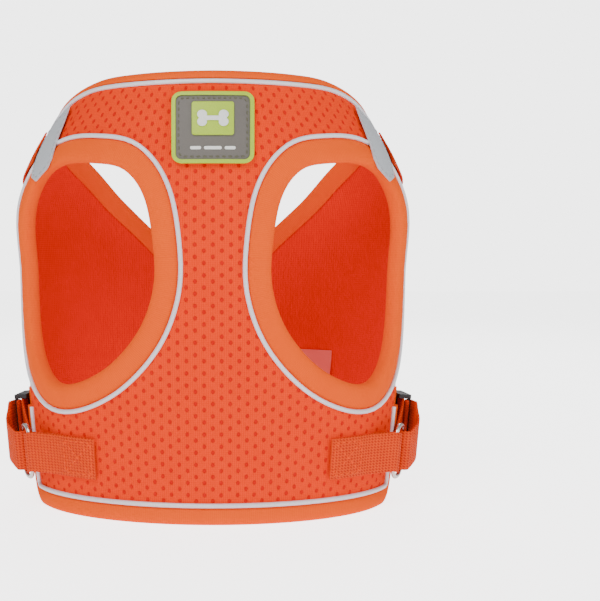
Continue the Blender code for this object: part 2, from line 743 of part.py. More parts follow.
def chest_strap(label, side):
    """Sewn to the chest in two layers, with the ring in its loop."""
    ring = Station(RING_ANGLE, STRAP_HEIGHT, side)
    under = [(degrees, STRAP_HEIGHT, LAYER_IN) for degrees in (STRAP_TUCK, 45, 49, 53, 57)]
    over = [(64.5, 0.0124), (61.5, 0.0102), (57.5, 0.0078), (53.5, LAYER_OUT + 0.0001)]
    over += [(degrees, LAYER_OUT) for degrees in (49, 45, 41, STRAP_END)]
    places = on_body(side, under)
    places += with_up(ring.half_turn(-RING_WIDTH / 2, RING_W, CHEST_LOOP, 1, 7), ring.up)
    places += on_body(side, [(degrees, STRAP_HEIGHT, w) for degrees, w in over])
    strap(f"{label}_chest_strap", places)


def side_ring(label, side):
    ring = Station(RING_ANGLE, STRAP_HEIGHT, side)
    outline = rounded_box((0, 0), RING_WIDTH, RING_HEIGHT, RING_CORNER)
    wire(f"{label}_side_ring", STEEL, [ring.at(along, RING_W, up) for along, up in outline], RING_WIRE)


def adjusting_strap(label, side):
    """Sewn to the back panel, straight through the slider, round the ring and back."""
    ring = Station(RING_ANGLE, STRAP_HEIGHT, side)
    run = Station(SLIDER_ANGLE, SLIDER_HEIGHT, side)
    sewn = [(degrees, SLIDER_HEIGHT, LAYER_IN) for degrees in (139, 135, 131, 127, 123, 119)]
    sewn += [(115, SLIDER_HEIGHT, 0.0062), (110, SLIDER_HEIGHT, 0.0080)]
    outer = [(78, 0.0302, 0.0164), (80.5, 0.0318, 0.0172), (83, 0.0345, 0.0170)]
    places = on_body(side, sewn)
    places += with_up([run.at(along, RUN_W) for along in (0.010, 0.0, -0.009)], run.up)
    places += with_up(ring.half_turn(RING_WIDTH / 2, RING_W, SIDE_LOOP, -1, 9), ring.up)
    places += on_body(side, outer)
    places += with_up([run.at(-0.0175, FRONT_BAR_W + 0.0010)], run.up)
    strap(f"{label}_adjusting_strap", places)


def slider(label, side):
    """A plastic slider: two rails, a low middle bar and two high bars, with the strap's end."""
    run = Station(SLIDER_ANGLE, SLIDER_HEIGHT, side)
    axes = (run.along, run.out, run.up)
    low, high = BINDING_HIGH + GAP, FRONT_BAR_W + SLIDER_BAR / 2 + SLIDER_LIP
    rail_up = WEBBING_WIDTH / 2 + 0.0004 + SLIDER_RAIL / 2
    reach = (SLIDER_LENGTH - SLIDER_BAR) / 2 - SLIDER_LIP
    middle = low + SLIDER_LIP + SLIDER_BAR / 2
    pieces = [
        block((SLIDER_LENGTH, high - low, SLIDER_RAIL), run.at(0, (low + high) / 2, up), axes)
        for up in (-rail_up, rail_up)
    ]
    for along, out in ((-reach, FRONT_BAR_W), (0, middle), (reach, FRONT_BAR_W)):
        pieces.append(block((SLIDER_BAR, SLIDER_BAR, 2 * rail_up), run.at(along, out), axes))
    joined(f"{label}_slider", BLACK, pieces)
    inner, outer = FRONT_BAR_W - END_LOOP, FRONT_BAR_W + END_LOOP
    loop = [run.at(-0.0125, inner), run.at(-0.0100, inner)]
    loop += run.half_turn(-reach, FRONT_BAR_W, END_LOOP, 1, 7)
    loop += [run.at(-0.0100, outer), run.at(-0.0130, outer + 0.0001)]
    strap(f"{label}_strap_end", with_up(loop, run.up))


for label, side in SIDES:
    chest_strap(label, side)
    side_ring(label, side)
    adjusting_strap(label, side)
    slider(label, side)

# ---------------------------------------------------------------- back webbing and lead rings

webbing_line = spline(on_pattern(BACK_WEBBING), False, 0.009)
TAIL = webbing_line[-1]
HEADING = Vector(webbing_line[-1] - webbing_line[-2]).normalized()


def webbing_lift(u):
    """The webbing stands off at the shoulder, where it lies over the padded binding."""
    first, last = u_at(WEBBING_RISE[0]), u_at(WEBBING_RISE[1])
    s = min(max((last - abs(u)) / (last - first), 0), 1)
    return WEBBING_STEP * s * s * (3 - 2 * s)


def webbing_outline():
    """The webbing's outline from the shoulder to the line where the flap bends."""
    end = HINGE_U - GAP
    edges = []
    for reach in (-WEBBING_WIDTH / 2, WEBBING_WIDTH / 2):
        edge = offset(webbing_line, reach)
        kept = [tuple(point) for point in edge if point[0] < end - 0.001]
        edges.append([*kept, (end, float(np.interp(end, edge[:, 0], edge[:, 1])))])
    return [*edges[0], *edges[1][::-1]]


def lead_ring(label, side, lift):
    """The D ring at the end of the back webbing, and the fold of webbing that holds it."""

    def place(ahead, across, w):
        u = TAIL[0] + HEADING.x * ahead + HEADING.y * across
        z = TAIL[1] + HEADING.y * ahead - HEADING.x * across
        return wrap(side * u, z, w + (lift(u) if lift else 0))

    middle = place(0, 0, LEAD_RING_W)
    ahead = (place(0.009, 0, LEAD_RING_W) - place(-0.009, 0, LEAD_RING_W)).normalized()
    across = place(0, 0.009, LEAD_RING_W) - place(0, -0.009, LEAD_RING_W)
    across = (across - ahead * across.dot(ahead)).normalized()
    out = across.cross(ahead) * side
    bar = LEAD_RING_REACH - 0.0017
    outline = [(0, -bar), (0, bar)]
    for turn in np.radians(np.linspace(8, 172, 15)):
        cosine = math.cos(turn)
        wide = math.copysign(abs(cosine) ** 0.6, cosine)
        outline.append((LEAD_RING_DEPTH * math.sin(turn), LEAD_RING_REACH * wide))
    wire(f"{label}_lead_ring", STEEL,
         [middle + ahead * along + across * wide for along, wide in outline], LEAD_RING_WIRE)

    radius = LEAD_RING_WIRE + GAP + WEBBING / 2
    turns = np.radians(np.linspace(90, -90, 7))
    back, bend = 0.0078, 0.0046  # how far the tab reaches behind the ring, and where it turns in
    loop = [middle - ahead * back + out * (radius - 0.0012), middle - ahead * bend + out * radius]
    loop += [middle + ahead * radius * math.cos(a) + out * radius * math.sin(a) for a in turns]
    loop += [middle - ahead * bend - out * radius, middle - ahead * back - out * radius]
    strap(f"{label}_ring_tab", with_up(loop, across))


for label, side in SIDES:
    panel(f"{label}_back_webbing", ORANGE_WEBBING, sided(np.array(webbing_outline()), side),
          (LAYER_IN - WEBBING / 2, LAYER_IN + WEBBING / 2), lift=webbing_lift, cells=FINE_CELLS)
    lead_ring(label, side, flap_lift if label == "right" else None)
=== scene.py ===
# %% [markdown]
# # A no pull harness for a small dog
#
# The real harness is a vest of knitted air mesh with soft, padded edges. It is cut flat, sewn
# together and worn wrapped round the dog. This lesson makes it the same way. Each piece is
# modelled flat, in a pattern whose x runs round the body, y is the height and z is the distance
# out from the lining, and is then wrapped round the body's shape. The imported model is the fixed
# frame: it gives the places of the webbing, rings and sliders, and how they move.

import math

import bpy
import numpy as np
from mathutils import Matrix, Vector


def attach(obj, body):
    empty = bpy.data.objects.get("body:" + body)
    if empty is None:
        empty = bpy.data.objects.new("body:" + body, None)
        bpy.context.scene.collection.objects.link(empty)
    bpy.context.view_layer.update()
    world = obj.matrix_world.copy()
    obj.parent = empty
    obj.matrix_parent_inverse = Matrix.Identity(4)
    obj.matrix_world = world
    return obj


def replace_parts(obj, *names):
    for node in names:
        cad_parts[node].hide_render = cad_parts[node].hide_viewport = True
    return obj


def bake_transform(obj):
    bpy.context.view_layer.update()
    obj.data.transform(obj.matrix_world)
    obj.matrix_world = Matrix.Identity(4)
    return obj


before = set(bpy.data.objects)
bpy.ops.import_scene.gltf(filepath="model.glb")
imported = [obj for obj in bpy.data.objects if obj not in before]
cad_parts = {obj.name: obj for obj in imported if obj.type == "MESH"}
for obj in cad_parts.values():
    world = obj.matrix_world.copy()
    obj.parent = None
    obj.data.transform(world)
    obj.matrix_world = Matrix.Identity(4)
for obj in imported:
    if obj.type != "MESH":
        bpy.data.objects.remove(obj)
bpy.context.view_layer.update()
print("frame holds", len(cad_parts), "nodes")

# %% [markdown]
# ## The body that the vest is cut for
#
# A dog's chest is close to an ellipse at each height, wider than it is deep, and it narrows over
# the shoulders. A short table of half widths and depths, with a smooth curve through it, is enough.
# Lengths round the body are measured on one fixed ellipse, so that a pattern keeps its size.

# %% The body's shape
WIDTH_HEIGHTS = (0, 0.014, 0.046, 0.070, 0.118, 0.158, 0.178, 0.199, 0.210, 0.218)
HALF_WIDTHS = (0.0865, 0.0885, 0.0918, 0.0940, 0.0960, 0.0968, 0.0893, 0.0775, 0.0715, 0.064)
DEPTH_HEIGHTS = (0, 0.046, 0.118, 0.158, 0.178, 0.199, 0.218)
CHEST_DEPTHS = (0.059, 0.061, 0.062, 0.062, 0.060, 0.056, 0.050)
BACK_DEPTHS = (0.0640, 0.0635, 0.0625, 0.0620, 0.0610, 0.0590, 0.0560)
GIRTH_WIDTH, GIRTH_DEPTH = 0.100, 0.062
CENTRE_Y = -0.00471

ANGLES = np.radians(np.arange(-220, 221))
STEPS = np.hypot(GIRTH_WIDTH * np.cos(ANGLES), GIRTH_DEPTH * np.sin(ANGLES)) * np.radians(1)
LENGTHS = np.cumsum(STEPS) - STEPS / 2
LENGTHS = LENGTHS - LENGTHS[220]


def smooth_through(xs, ys, at):
    """The heights at of a smooth curve through the points."""
    xs, ys, at = (np.asarray(values, float) for values in (xs, ys, at))
    slope = np.gradient(ys, xs)
    i = np.clip(np.searchsorted(xs, at) - 1, 0, len(xs) - 2)
    step = xs[i + 1] - xs[i]
    s = np.clip((at - xs[i]) / step, 0, 1)
    rise = (2 * s**3 - 3 * s**2 + 1) * ys[i] + (3 * s**2 - 2 * s**3) * ys[i + 1]
    return rise + step * ((s**3 - 2 * s**2 + s) * slope[i] + (s**3 - s**2) * slope[i + 1])


def u_at(degrees):
    return float(np.interp(math.radians(degrees), ANGLES, LENGTHS))


def wrap(points, lift=None):
    """Moves pattern points (u, height, w) to their places on the body."""
    u, z, w = np.asarray(points, float).T
    w = w + (lift(u) if lift else 0)
    angle = np.interp(u, LENGTHS, ANGLES)
    width = smooth_through(WIDTH_HEIGHTS, HALF_WIDTHS, z)
    depth = np.where(np.cos(angle) > 0, smooth_through(DEPTH_HEIGHTS, CHEST_DEPTHS, z),
                     smooth_through(DEPTH_HEIGHTS, BACK_DEPTHS, z))
    out = np.stack([np.sin(angle) / width, -np.cos(angle) / depth])
    out = out / np.hypot(*out)
    return np.stack([width * np.sin(angle) + out[0] * w,
                     CENTRE_Y - depth * np.cos(angle) + out[1] * w, z], 1)


HALF_GIRTH = u_at(180)
HINGE_U = u_at(150)
print(f"girth {2 * HALF_GIRTH:.3f} m")

# %% [markdown]
# ## Lines on the pattern
#
# Every edge of the vest is a smooth line on the pattern: the neckline, the leg openings and the
# hem. Bindings and piping follow the same lines at small distances, as a sewing machine does.

# %% Smooth lines, and lines beside them
def spline(points, closed, spacing):
    """Evenly spaced points on a smooth curve through the given ones."""
    points = np.array(points, float)
    count = len(points)
    dense = []
    for i in range(count if closed else count - 1):
        near = [(i + k) % count if closed else min(max(i + k, 0), count - 1) for k in (-1, 0, 1, 2)]
        p0, p1, p2, p3 = points[near]
        for s in np.linspace(0, 1, 24, endpoint=False):
            dense.append(0.5 * (2 * p1 + (p2 - p0) * s + (2 * p0 - 5 * p1 + 4 * p2 - p3) * s**2
                                + (3 * p1 - p0 - 3 * p2 + p3) * s**3))
    dense.append(points[0] if closed else points[-1])
    dense = np.array(dense)
    along = np.concatenate([[0], np.cumsum(np.linalg.norm(np.diff(dense, axis=0), axis=1))])
    stations = np.linspace(0, along[-1], max(2, round(along[-1] / spacing)) + 1)
    return np.stack([np.interp(stations, along, column) for column in dense.T], 1)


def normals(path, closed):
    """The direction to the left of travel at each point of a path."""
    if closed:
        ahead = np.roll(path[:-1], -1, axis=0) - np.roll(path[:-1], 1, axis=0)
        ahead = np.concatenate([ahead, ahead[:1]])
    else:
        ahead = np.gradient(path, axis=0)
    ahead = ahead / np.linalg.norm(ahead, axis=1)[:, None]
    return np.stack([-ahead[:, 1], ahead[:, 0]], 1)


def beside(path, distance, closed=False):
    return path + normals(path, closed) * distance


def on_pattern(points):
    return [(u_at(degrees), z) for degrees, z in points]


def mirrored(points):
    """The same path on the other side of the body, running the same way round."""
    return np.array([(-point[0], *point[1:]) for point in points[::-1]])


def sided(path, side):
    return np.array(path) if side > 0 else mirrored(path)


def arc(centre, radius, start, end, steps=9):
    turns = np.radians(np.linspace(start, end, steps))
    return [(centre[0] + radius * math.cos(a), centre[1] + radius * math.sin(a)) for a in turns]


def rounded_box(centre, width, height, radius, steps=7):
    u, z = centre
    reach_u, reach_z = width / 2 - radius, height / 2 - radius
    points = []
    for side, up, turn in ((1, 1, 0), (-1, 1, 90), (-1, -1, 180), (1, -1, 270)):
        points += arc((u + side * reach_u, z + up * reach_z), radius, turn, turn + 90, steps)
    return points


# %% The vest's edges
LEG_OPENING = (
    (16.6, 0.127), (19.0, 0.154), (26.5, 0.1690), (39.0, 0.1732), (55.0, 0.1728), (66.0, 0.164),
    (71.0, 0.140), (71.5, 0.108), (67.5, 0.082), (58.0, 0.0668), (46.5, 0.0650), (33.0, 0.0735),
    (23.0, 0.089), (17.8, 0.107),
)
NECKLINE = (
    (0, 0.2180), (30, 0.2176), (50, 0.2168), (62, 0.2140), (72, 0.2095), (82, 0.2035), (96, 0.1970),
    (115, 0.1885), (134, 0.1755), (148, 0.1590), (160, 0.1420), (172, 0.1210), (180, 0.1080),
    (190, 0.1000),
)
SHOULDER_SEAM, CHEST_SIDE, BACK_SIDE = 58.0, 83.0, 88.0
SIDE_TOP, CORNER = 0.050, 0.012
FLAP_EDGE, FLAP_GROUND, FLAP_LIFT = 0.017, 0.0008, 0.0078
LEG_BINDING, NECK_BINDING, HEM_BINDING = 0.0120, 0.0044, 0.0082
PIPING = 0.00115
SEAM = 0.0026
SIDES = (("left", 1), ("right", -1))

neck_half = spline(on_pattern(NECKLINE), False, 0.0025)
neck_line = np.concatenate([mirrored(neck_half)[:-1], neck_half])
leg_edge = spline(on_pattern(LEG_OPENING), True, 0.0028)


def neck_path(low, high, distance=0.0):
    """The neckline between two places on the pattern, moved down off its edge."""
    whole = beside(neck_line, -distance)
    inner = whole[(whole[:, 0] > low + 0.001) & (whole[:, 0] < high - 0.001)]
    ends = [(u, np.interp(u, whole[:, 0], whole[:, 1])) for u in (low, high)]
    return np.array([ends[0], *inner, ends[1]])


def leg_path(side, distance):
    return sided(beside(leg_edge, distance, True), side)


def flap_lift(u):
    """How far the upper flap stands off the body, where it lies over the lower one."""
    start, end = u_at(150.6), u_at(168.5)
    return FLAP_LIFT * np.clip((np.abs(u) - start) / (end - start), 0, 1)


print("leg opening", len(leg_edge), "points; neckline", len(neck_line), "points")

# %% [markdown]
# ## Tools for cloth
#
# A panel starts as a grid, gets its thickness by extruding, and is cut to its outline with a
# Boolean, like cloth on a cutting table. A binding or a strap starts as a grid too, which is rolled
# into a long tube with the right section. Both keep their flat sizes in a UV map, in metres, so
# that knit and weave follow the cloth round the body at their true scale.

# %% Choose, change and measure a piece
def deselect():
    if bpy.context.mode != "OBJECT":
        bpy.ops.object.mode_set(mode="OBJECT")
    bpy.ops.object.select_all(action="DESELECT")


def pick(obj):
    deselect()
    obj.select_set(True)
    bpy.context.view_layer.objects.active = obj
    return obj


def modify(obj, kind, **settings):
    """Adds a modifier with its settings, and applies it."""
    pick(obj)
    modifier = obj.modifiers.new(kind.lower(), kind)
    for name, value in settings.items():
        setattr(modifier, name, value)
    bpy.ops.object.modifier_apply(modifier=modifier.name)
    return obj


def places(obj):
    flat = np.empty(len(obj.data.vertices) * 3)
    obj.data.vertices.foreach_get("co", flat)
    return flat.reshape(-1, 3)


def set_places(obj, points):
    obj.data.vertices.foreach_set("co", np.asarray(points, float).ravel())
    obj.data.update()


def face_outwards(obj, merge=1e-6):
    pick(obj)
    bpy.ops.object.mode_set(mode="EDIT")
    bpy.ops.mesh.select_all(action="SELECT")
    bpy.ops.mesh.remove_doubles(threshold=merge)
    bpy.ops.mesh.normals_make_consistent(inside=False)
    bpy.ops.object.mode_set(mode="OBJECT")


def dress(obj, look, angle=40):
    """Gives a piece its material and smooth shading with crisp corners."""
    obj.data.materials.clear()
    obj.data.materials.append(look)
    pick(obj)
    bpy.ops.object.shade_smooth_by_angle(angle=math.radians(angle))
    return obj


# %% Cut a panel
def cutter(outline, low, high):
    """A flat outline filled and extruded, for a Boolean."""
    curve = bpy.data.curves.new("cutter", "CURVE")
    curve.dimensions, curve.fill_mode, curve.extrude = "2D", "BOTH", (high - low) / 2
    line = curve.splines.new("POLY")
    line.points.add(len(outline) - 1)
    line.points.foreach_set("co", np.array([(u, z, 0, 1) for u, z in outline], float).ravel())
    line.use_cyclic_u = True
    obj = bpy.data.objects.new("cutter", curve)
    bpy.context.scene.collection.objects.link(obj)
    pick(obj)
    bpy.ops.object.convert(target="MESH")
    obj = bpy.context.object
    set_places(obj, places(obj) + (0, 0, (low + high) / 2))
    face_outwards(obj)
    return obj


SPARE, CUT_DEPTH = 0.002, 0.01


def cut_cloth(name, outline, layer, holes=(), cell=0.004, soften=0.0, lift=None, shape=None):
    """A layer of cloth or rubber, cut flat with its holes, and wrapped round the body."""
    outline = np.array(outline)
    low, high = layer
    (u0, z0), (u1, z1) = outline.min(0) - SPARE, outline.max(0) + SPARE
    deselect()
    across, up = (max(1, round(side / cell)) for side in (u1 - u0, z1 - z0))
    bpy.ops.mesh.primitive_grid_add(x_subdivisions=across, y_subdivisions=up, size=1)
    obj = bpy.context.object
    obj.name = obj.data.name = name
    bpy.ops.object.mode_set(mode="EDIT")
    bpy.ops.transform.resize(value=(u1 - u0, z1 - z0, 1))
    bpy.ops.transform.translate(value=((u0 + u1) / 2, (z0 + z1) / 2, low))
    bpy.ops.mesh.extrude_region_move(TRANSFORM_OT_translate={"value": (0, 0, high - low)})
    face_outwards(obj)
    cuts = [("INTERSECT", outline)] + [("DIFFERENCE", hole) for hole in holes]
    for operation, edge in cuts:
        tool = cutter(edge, low - CUT_DEPTH, high + CUT_DEPTH)
        modify(obj, "BOOLEAN", operation=operation, object=tool, solver="EXACT")
        bpy.data.objects.remove(tool)
    if soften:
        modify(obj, "BEVEL", width=soften, segments=3, limit_method="ANGLE")
    flat = places(obj)
    lay_uv(obj, flat[:, :2])
    if shape:
        flat = shape(flat)
    set_places(obj, wrap(flat, lift))
    return obj


def lay_uv(obj, flat):
    """A UV map that holds each point's flat place, in metres."""
    layer = obj.data.uv_layers.active or obj.data.uv_layers.new(name="UVMap")
    corners = np.empty(len(obj.data.loops), int)
    obj.data.loops.foreach_get("vertex_index", corners)
    layer.data.foreach_set("uv", np.asarray(flat, float)[corners].ravel())


# %% [markdown]
# ## Tools for bindings, cords and straps
#
# A binding, a cord and a strap are all one long tube with a different section. The rows of places
# are worked out first, then a flat grid is rolled onto them. A closed loop has no ends, and an
# open tube gets a cap at each end.

# %% Roll a grid into a long tube
def long_tube(name, rows, cap):
    """A grid laid on rows of places: rows go along the piece, and each row round its section."""
    count, size = rows.shape[:2]
    deselect()
    bpy.ops.mesh.primitive_grid_add(x_subdivisions=count - 1, y_subdivisions=size, size=1)
    obj = bpy.context.object
    obj.name = obj.data.name = name
    start = places(obj)
    i = np.rint((start[:, 0] + 0.5) * (count - 1)).astype(int)
    k = np.rint((start[:, 1] + 0.5) * size).astype(int)
    along = np.linalg.norm(np.diff(rows.mean(1), axis=0), axis=1)
    along = np.concatenate([[0], np.cumsum(along)])
    whole = np.concatenate([rows, rows[:, :1]], 1)
    around = np.linalg.norm(np.diff(whole, axis=1), axis=2).mean(0)
    around = np.concatenate([[0], np.cumsum(around)])
    lay_uv(obj, np.stack([along[i], around[k]], 1))
    set_places(obj, rows[i, k % size])
    face_outwards(obj, 1e-5)
    if cap:
        bpy.ops.object.mode_set(mode="EDIT")
        bpy.ops.mesh.select_all(action="SELECT")
        bpy.ops.mesh.fill_holes(sides=0)
        bpy.ops.mesh.normals_make_consistent(inside=False)
        bpy.ops.object.mode_set(mode="OBJECT")
    return obj


# %% Roll a padded binding
PUCKER, STITCH_STEP = 0.10, 0.0042


def rolled(name, path, section, closed, lift=None):
    """A section of (distance in from the edge, w) points, carried along a path on the pattern."""
    sides = normals(path, closed)
    along = np.concatenate([[0], np.cumsum(np.linalg.norm(np.diff(path, axis=0), axis=1))])
    stitch = STITCH_STEP
    if closed:
        stitch = along[-1] / round(along[-1] / stitch)
    middle = np.mean([w for _, w in section])
    width = max(d for d, _ in section)
    rows = []
    for (u, z), side, at in zip(path, sides, along):
        squeeze = PUCKER * 0.5 * (1 + math.cos(2 * math.pi * at / stitch))
        row = []
        for d, w in section:
            near_seam = min(max(d / width, 0), 1) ** 3
            pulled = w + (middle - w) * squeeze * near_seam
            row.append((u + side[0] * d, z + side[1] * d, pulled))
        rows.append(wrap(np.array(row), lift))
    return long_tube(name, np.array(rows), not closed)


# %% Draw a cord, and weave a strap
def tube(name, line, radius, closed, sides=10):
    """A round cord or wire along a line of places."""
    line = np.array(line, float)
    if closed:
        ahead = np.roll(line[:-1], -1, axis=0) - np.roll(line[:-1], 1, axis=0)
        ahead = np.concatenate([ahead, ahead[:1]])
    else:
        ahead = np.gradient(line, axis=0)
    ahead /= np.linalg.norm(ahead, axis=1)[:, None]
    centre = line.mean(0)
    rows = []
    for place, front in zip(line, ahead):
        out = place - centre
        out = out - front * out.dot(front)
        out /= np.linalg.norm(out)
        third = np.cross(front, out)
        turns = np.linspace(0, 2 * math.pi, sides, endpoint=False)
        rows.append([place + radius * (out * math.cos(a) + third * math.sin(a)) for a in turns])
    return long_tube(name, np.array(rows), not closed)


def woven(name, line, ups, width, thickness, spacing=0.0015):
    """Webbing: a flat strip with soft edges along a line of places, ups pointing across it."""
    both = np.concatenate([np.array(line, float), np.array(ups, float) * 0.01], 1)
    both = spline(both, False, spacing)
    line, ups = both[:, :3], both[:, 3:]
    ups = ups / np.linalg.norm(ups, axis=1)[:, None]
    ahead = np.gradient(line, axis=0)
    out = np.cross(ahead, ups)
    out /= np.linalg.norm(out, axis=1)[:, None]
    half, thin = width / 2, thickness / 2
    edge = [(half - thin, thin), (half - 0.2 * thin, 0.6 * thin), (half, 0)]
    top = [(-half + thin, thin), (-half / 2, thin), (0, thin), (half / 2, thin)]
    right = [(a, -b) for a, b in edge[::-1]][1:]
    section = top + edge + right + [(a, -b) for a, b in top[::-1]]
    section += [(-half + 0.2 * thin, -0.6 * thin), (-half, 0), (-half + 0.2 * thin, 0.6 * thin)]
    rows = [[place + up * a + away * b for a, b in section]
            for place, up, away in zip(line, ups, out)]
    return long_tube(name, np.array(rows), True)


# %% Sew stitches
STITCH_LENGTH, STITCH_GAP, STITCH_RADIUS = 0.0021, 0.0011, 0.0004
STITCH_SPREAD, LOOK_AHEAD = 1.1, 0.0003


def stitches(name, lines):
    """Small raised stitches along lines of (u, height, w) points on the pattern."""
    deselect()
    bpy.ops.mesh.primitive_uv_sphere_add(segments=8, ring_count=5, radius=1)
    one = bpy.context.object
    bead = places(one)
    faces = [list(face.vertices) for face in one.data.polygons]
    bpy.data.objects.remove(one)
    points, joined = [], []
    for line in lines:
        line = np.array(line, float)
        run = np.concatenate([[0], np.cumsum(np.linalg.norm(np.diff(line, axis=0), axis=1))])
        count = max(1, round(run[-1] / (STITCH_LENGTH + STITCH_GAP)))
        for at in (np.arange(count) + 0.5) * run[-1] / count:
            here, there = (np.array([np.interp(s, run, column) for column in line.T])
                           for s in (at - LOOK_AHEAD, at + LOOK_AHEAD))
            ahead = (there - here) / np.linalg.norm(there - here)
            across = np.array([-ahead[1], ahead[0], 0]) / max(math.hypot(*ahead[:2]), 1e-6)
            out = np.cross(ahead, across)
            size = (STITCH_LENGTH / 2, STITCH_RADIUS * STITCH_SPREAD, STITCH_RADIUS)
            placed = (here + there) / 2 + (bead * size) @ np.array([ahead, across, out])
            joined += [[len(points) * len(bead) + k for k in face] for face in faces]
            points.append(placed)
    mesh = bpy.data.meshes.new(name)
    mesh.from_pydata(wrap(np.concatenate(points)).tolist(), [], joined)
    obj = bpy.data.objects.new(name, mesh)
    bpy.context.scene.collection.objects.link(obj)
    face_outwards(obj, 1e-7)
    return obj


print("tools ready")

# %% [markdown]
# ## Finishes
#
# Knit, weave and moulded rubber look like themselves because of their small relief and the small
# changes in their colour. Each effect that several finishes use is one node group, with its sizes
# in millimetres. It reads the flat UV map, so a rib stays a rib all the way round a binding.

# %% Node helpers
def add(tree, kind, links=None, **settings):
    """A shader node with its settings, its values and its links."""
    node = tree.nodes.new("ShaderNode" + kind)
    for name, value in settings.items():
        setattr(node, name, value)
    for name, value in (links or {}).items():
        if isinstance(value, bpy.types.NodeSocket):
            tree.links.new(value, node.inputs[name])
        else:
            node.inputs[name].default_value = value
    return node


def sums(tree, operation, *values, clamp=False):
    """One Math node, and its result."""
    links = dict(enumerate(values))
    return add(tree, "Math", links, operation=operation, use_clamp=clamp).outputs[0]


def vectors(tree, operation, *values):
    node = add(tree, "VectorMath", dict(enumerate(values)), operation=operation)
    return node.outputs["Value" if operation == "LENGTH" else "Vector"]


def group(name, inputs, outputs):
    """An empty node group with its sockets, and its tree, inputs and outputs."""
    tree = bpy.data.node_groups.new(name, "ShaderNodeTree")
    for socket, kind, value in inputs:
        made = tree.interface.new_socket(socket, in_out="INPUT", socket_type=kind)
        if value is not None:
            made.default_value = value
    for socket in outputs:
        tree.interface.new_socket(socket, in_out="OUTPUT", socket_type="NodeSocketFloat")
    start, end = tree.nodes.new("NodeGroupInput"), tree.nodes.new("NodeGroupOutput")
    return tree, start.outputs, end.inputs


def use(tree, made, links):
    node = tree.nodes.new("ShaderNodeGroup")
    node.node_tree = made
    for name, value in links.items():
        if isinstance(value, bpy.types.NodeSocket):
            tree.links.new(value, node.inputs[name])
        else:
            node.inputs[name].default_value = value
    return node.outputs


# %% Effects that finishes share
def weave_group():
    """Yarns that pass over and under: a raised bump at each crossing, in rows that step."""
    tree, given, result = group("woven_yarns", [
        ("Place", "NodeSocketVector", None), ("Along", "NodeSocketFloat", 1.2),
        ("Across", "NodeSocketFloat", 1.0)], ["Height"])
    parts = add(tree, "SeparateXYZ", {"Vector": given["Place"]}).outputs
    x = sums(tree, "MULTIPLY", sums(tree, "DIVIDE", parts["X"], given["Along"]), math.pi)
    y = sums(tree, "MULTIPLY", sums(tree, "DIVIDE", parts["Y"], given["Across"]), math.pi)
    bumps = sums(tree, "MULTIPLY", sums(tree, "SINE", x), sums(tree, "SINE", y))
    twill = sums(tree, "ABSOLUTE", sums(tree, "SINE", sums(tree, "ADD", x, y)))
    mixed = sums(tree, "MULTIPLY_ADD", sums(tree, "ABSOLUTE", bumps), 0.55, 0.0)
    tree.links.new(sums(tree, "MULTIPLY_ADD", twill, 0.45, mixed), result["Height"])
    return tree


def ribs_group():
    """Fine knitted ribs with a row of loops along each one."""
    tree, given, result = group("knitted_ribs", [
        ("Place", "NodeSocketVector", None), ("Rib", "NodeSocketFloat", 0.9),
        ("Loop", "NodeSocketFloat", 0.7)], ["Height"])
    parts = add(tree, "SeparateXYZ", {"Vector": given["Place"]}).outputs
    x = sums(tree, "MULTIPLY", sums(tree, "DIVIDE", parts["X"], given["Rib"]), math.pi)
    y = sums(tree, "MULTIPLY", sums(tree, "DIVIDE", parts["Y"], given["Loop"]), math.pi)
    rib = sums(tree, "ABSOLUTE", sums(tree, "SINE", x))
    loop = sums(tree, "ABSOLUTE", sums(tree, "SINE", sums(tree, "MULTIPLY_ADD", rib, 0.8, y)))
    tree.links.new(sums(tree, "MULTIPLY_ADD", loop, 0.4, sums(tree, "MULTIPLY", rib, 0.6)),
                   result["Height"])
    return tree


def drift_group():
    """Slow and fast unevenness, about zero: dye, handling and loose fibres."""
    tree, given, result = group("unevenness", [
        ("Place", "NodeSocketVector", None), ("Slow", "NodeSocketFloat", 0.05),
        ("Fast", "NodeSocketFloat", 1.5)], ["Shade"])
    slow = add(tree, "TexNoise", {"Vector": given["Place"], "Scale": given["Slow"], "Detail": 2.0})
    fast = add(tree, "TexNoise", {"Vector": given["Place"], "Scale": given["Fast"], "Detail": 3.0})
    both = sums(tree, "ADD", slow.outputs[0], fast.outputs[0])
    tree.links.new(sums(tree, "SUBTRACT", both, 1.0), result["Shade"])
    return tree


WEAVE, RIBS, DRIFT = weave_group(), ribs_group(), drift_group()
print(len(bpy.data.node_groups), "shared effects")

# %% Start a finish
SHEEN_TINT, SHEEN_ROUGHNESS = (1.0, 0.28, 0.05, 1), 0.5
MILLIMETRES = (1000, 1000, 1000)


def finish_start(name, roughness, metallic=0.0, sheen=0.0, own_map=True, gloss=0.5):
    """A material with its Principled shader, and its place in millimetres."""
    made = bpy.data.materials.new(name)
    made.use_nodes = True
    tree = made.node_tree
    shader = tree.nodes["Principled BSDF"]
    shader.inputs["Roughness"].default_value = roughness
    shader.inputs["Metallic"].default_value = metallic
    shader.inputs["Sheen Weight"].default_value = sheen
    shader.inputs["Sheen Roughness"].default_value = SHEEN_ROUGHNESS
    shader.inputs["Sheen Tint"].default_value = SHEEN_TINT
    shader.inputs["Specular IOR Level"].default_value = gloss
    source = add(tree, "TexCoord").outputs["UV" if own_map else "Object"]
    return made, tree, shader, vectors(tree, "MULTIPLY", source, MILLIMETRES)


def shaded(tree, shader, dark, light, factor, drift=None, amount=0.25):
    """Base colour from dark to light by a factor, nudged by unevenness."""
    if drift:
        factor = sums(tree, "MULTIPLY_ADD", drift, amount, factor, clamp=True)
    mix = add(tree, "Mix", data_type="RGBA")
    tree.links.new(factor, mix.inputs[0])
    mix.inputs[6].default_value, mix.inputs[7].default_value = (*dark, 1), (*light, 1)
    tree.links.new(mix.outputs[2], shader.inputs["Base Color"])


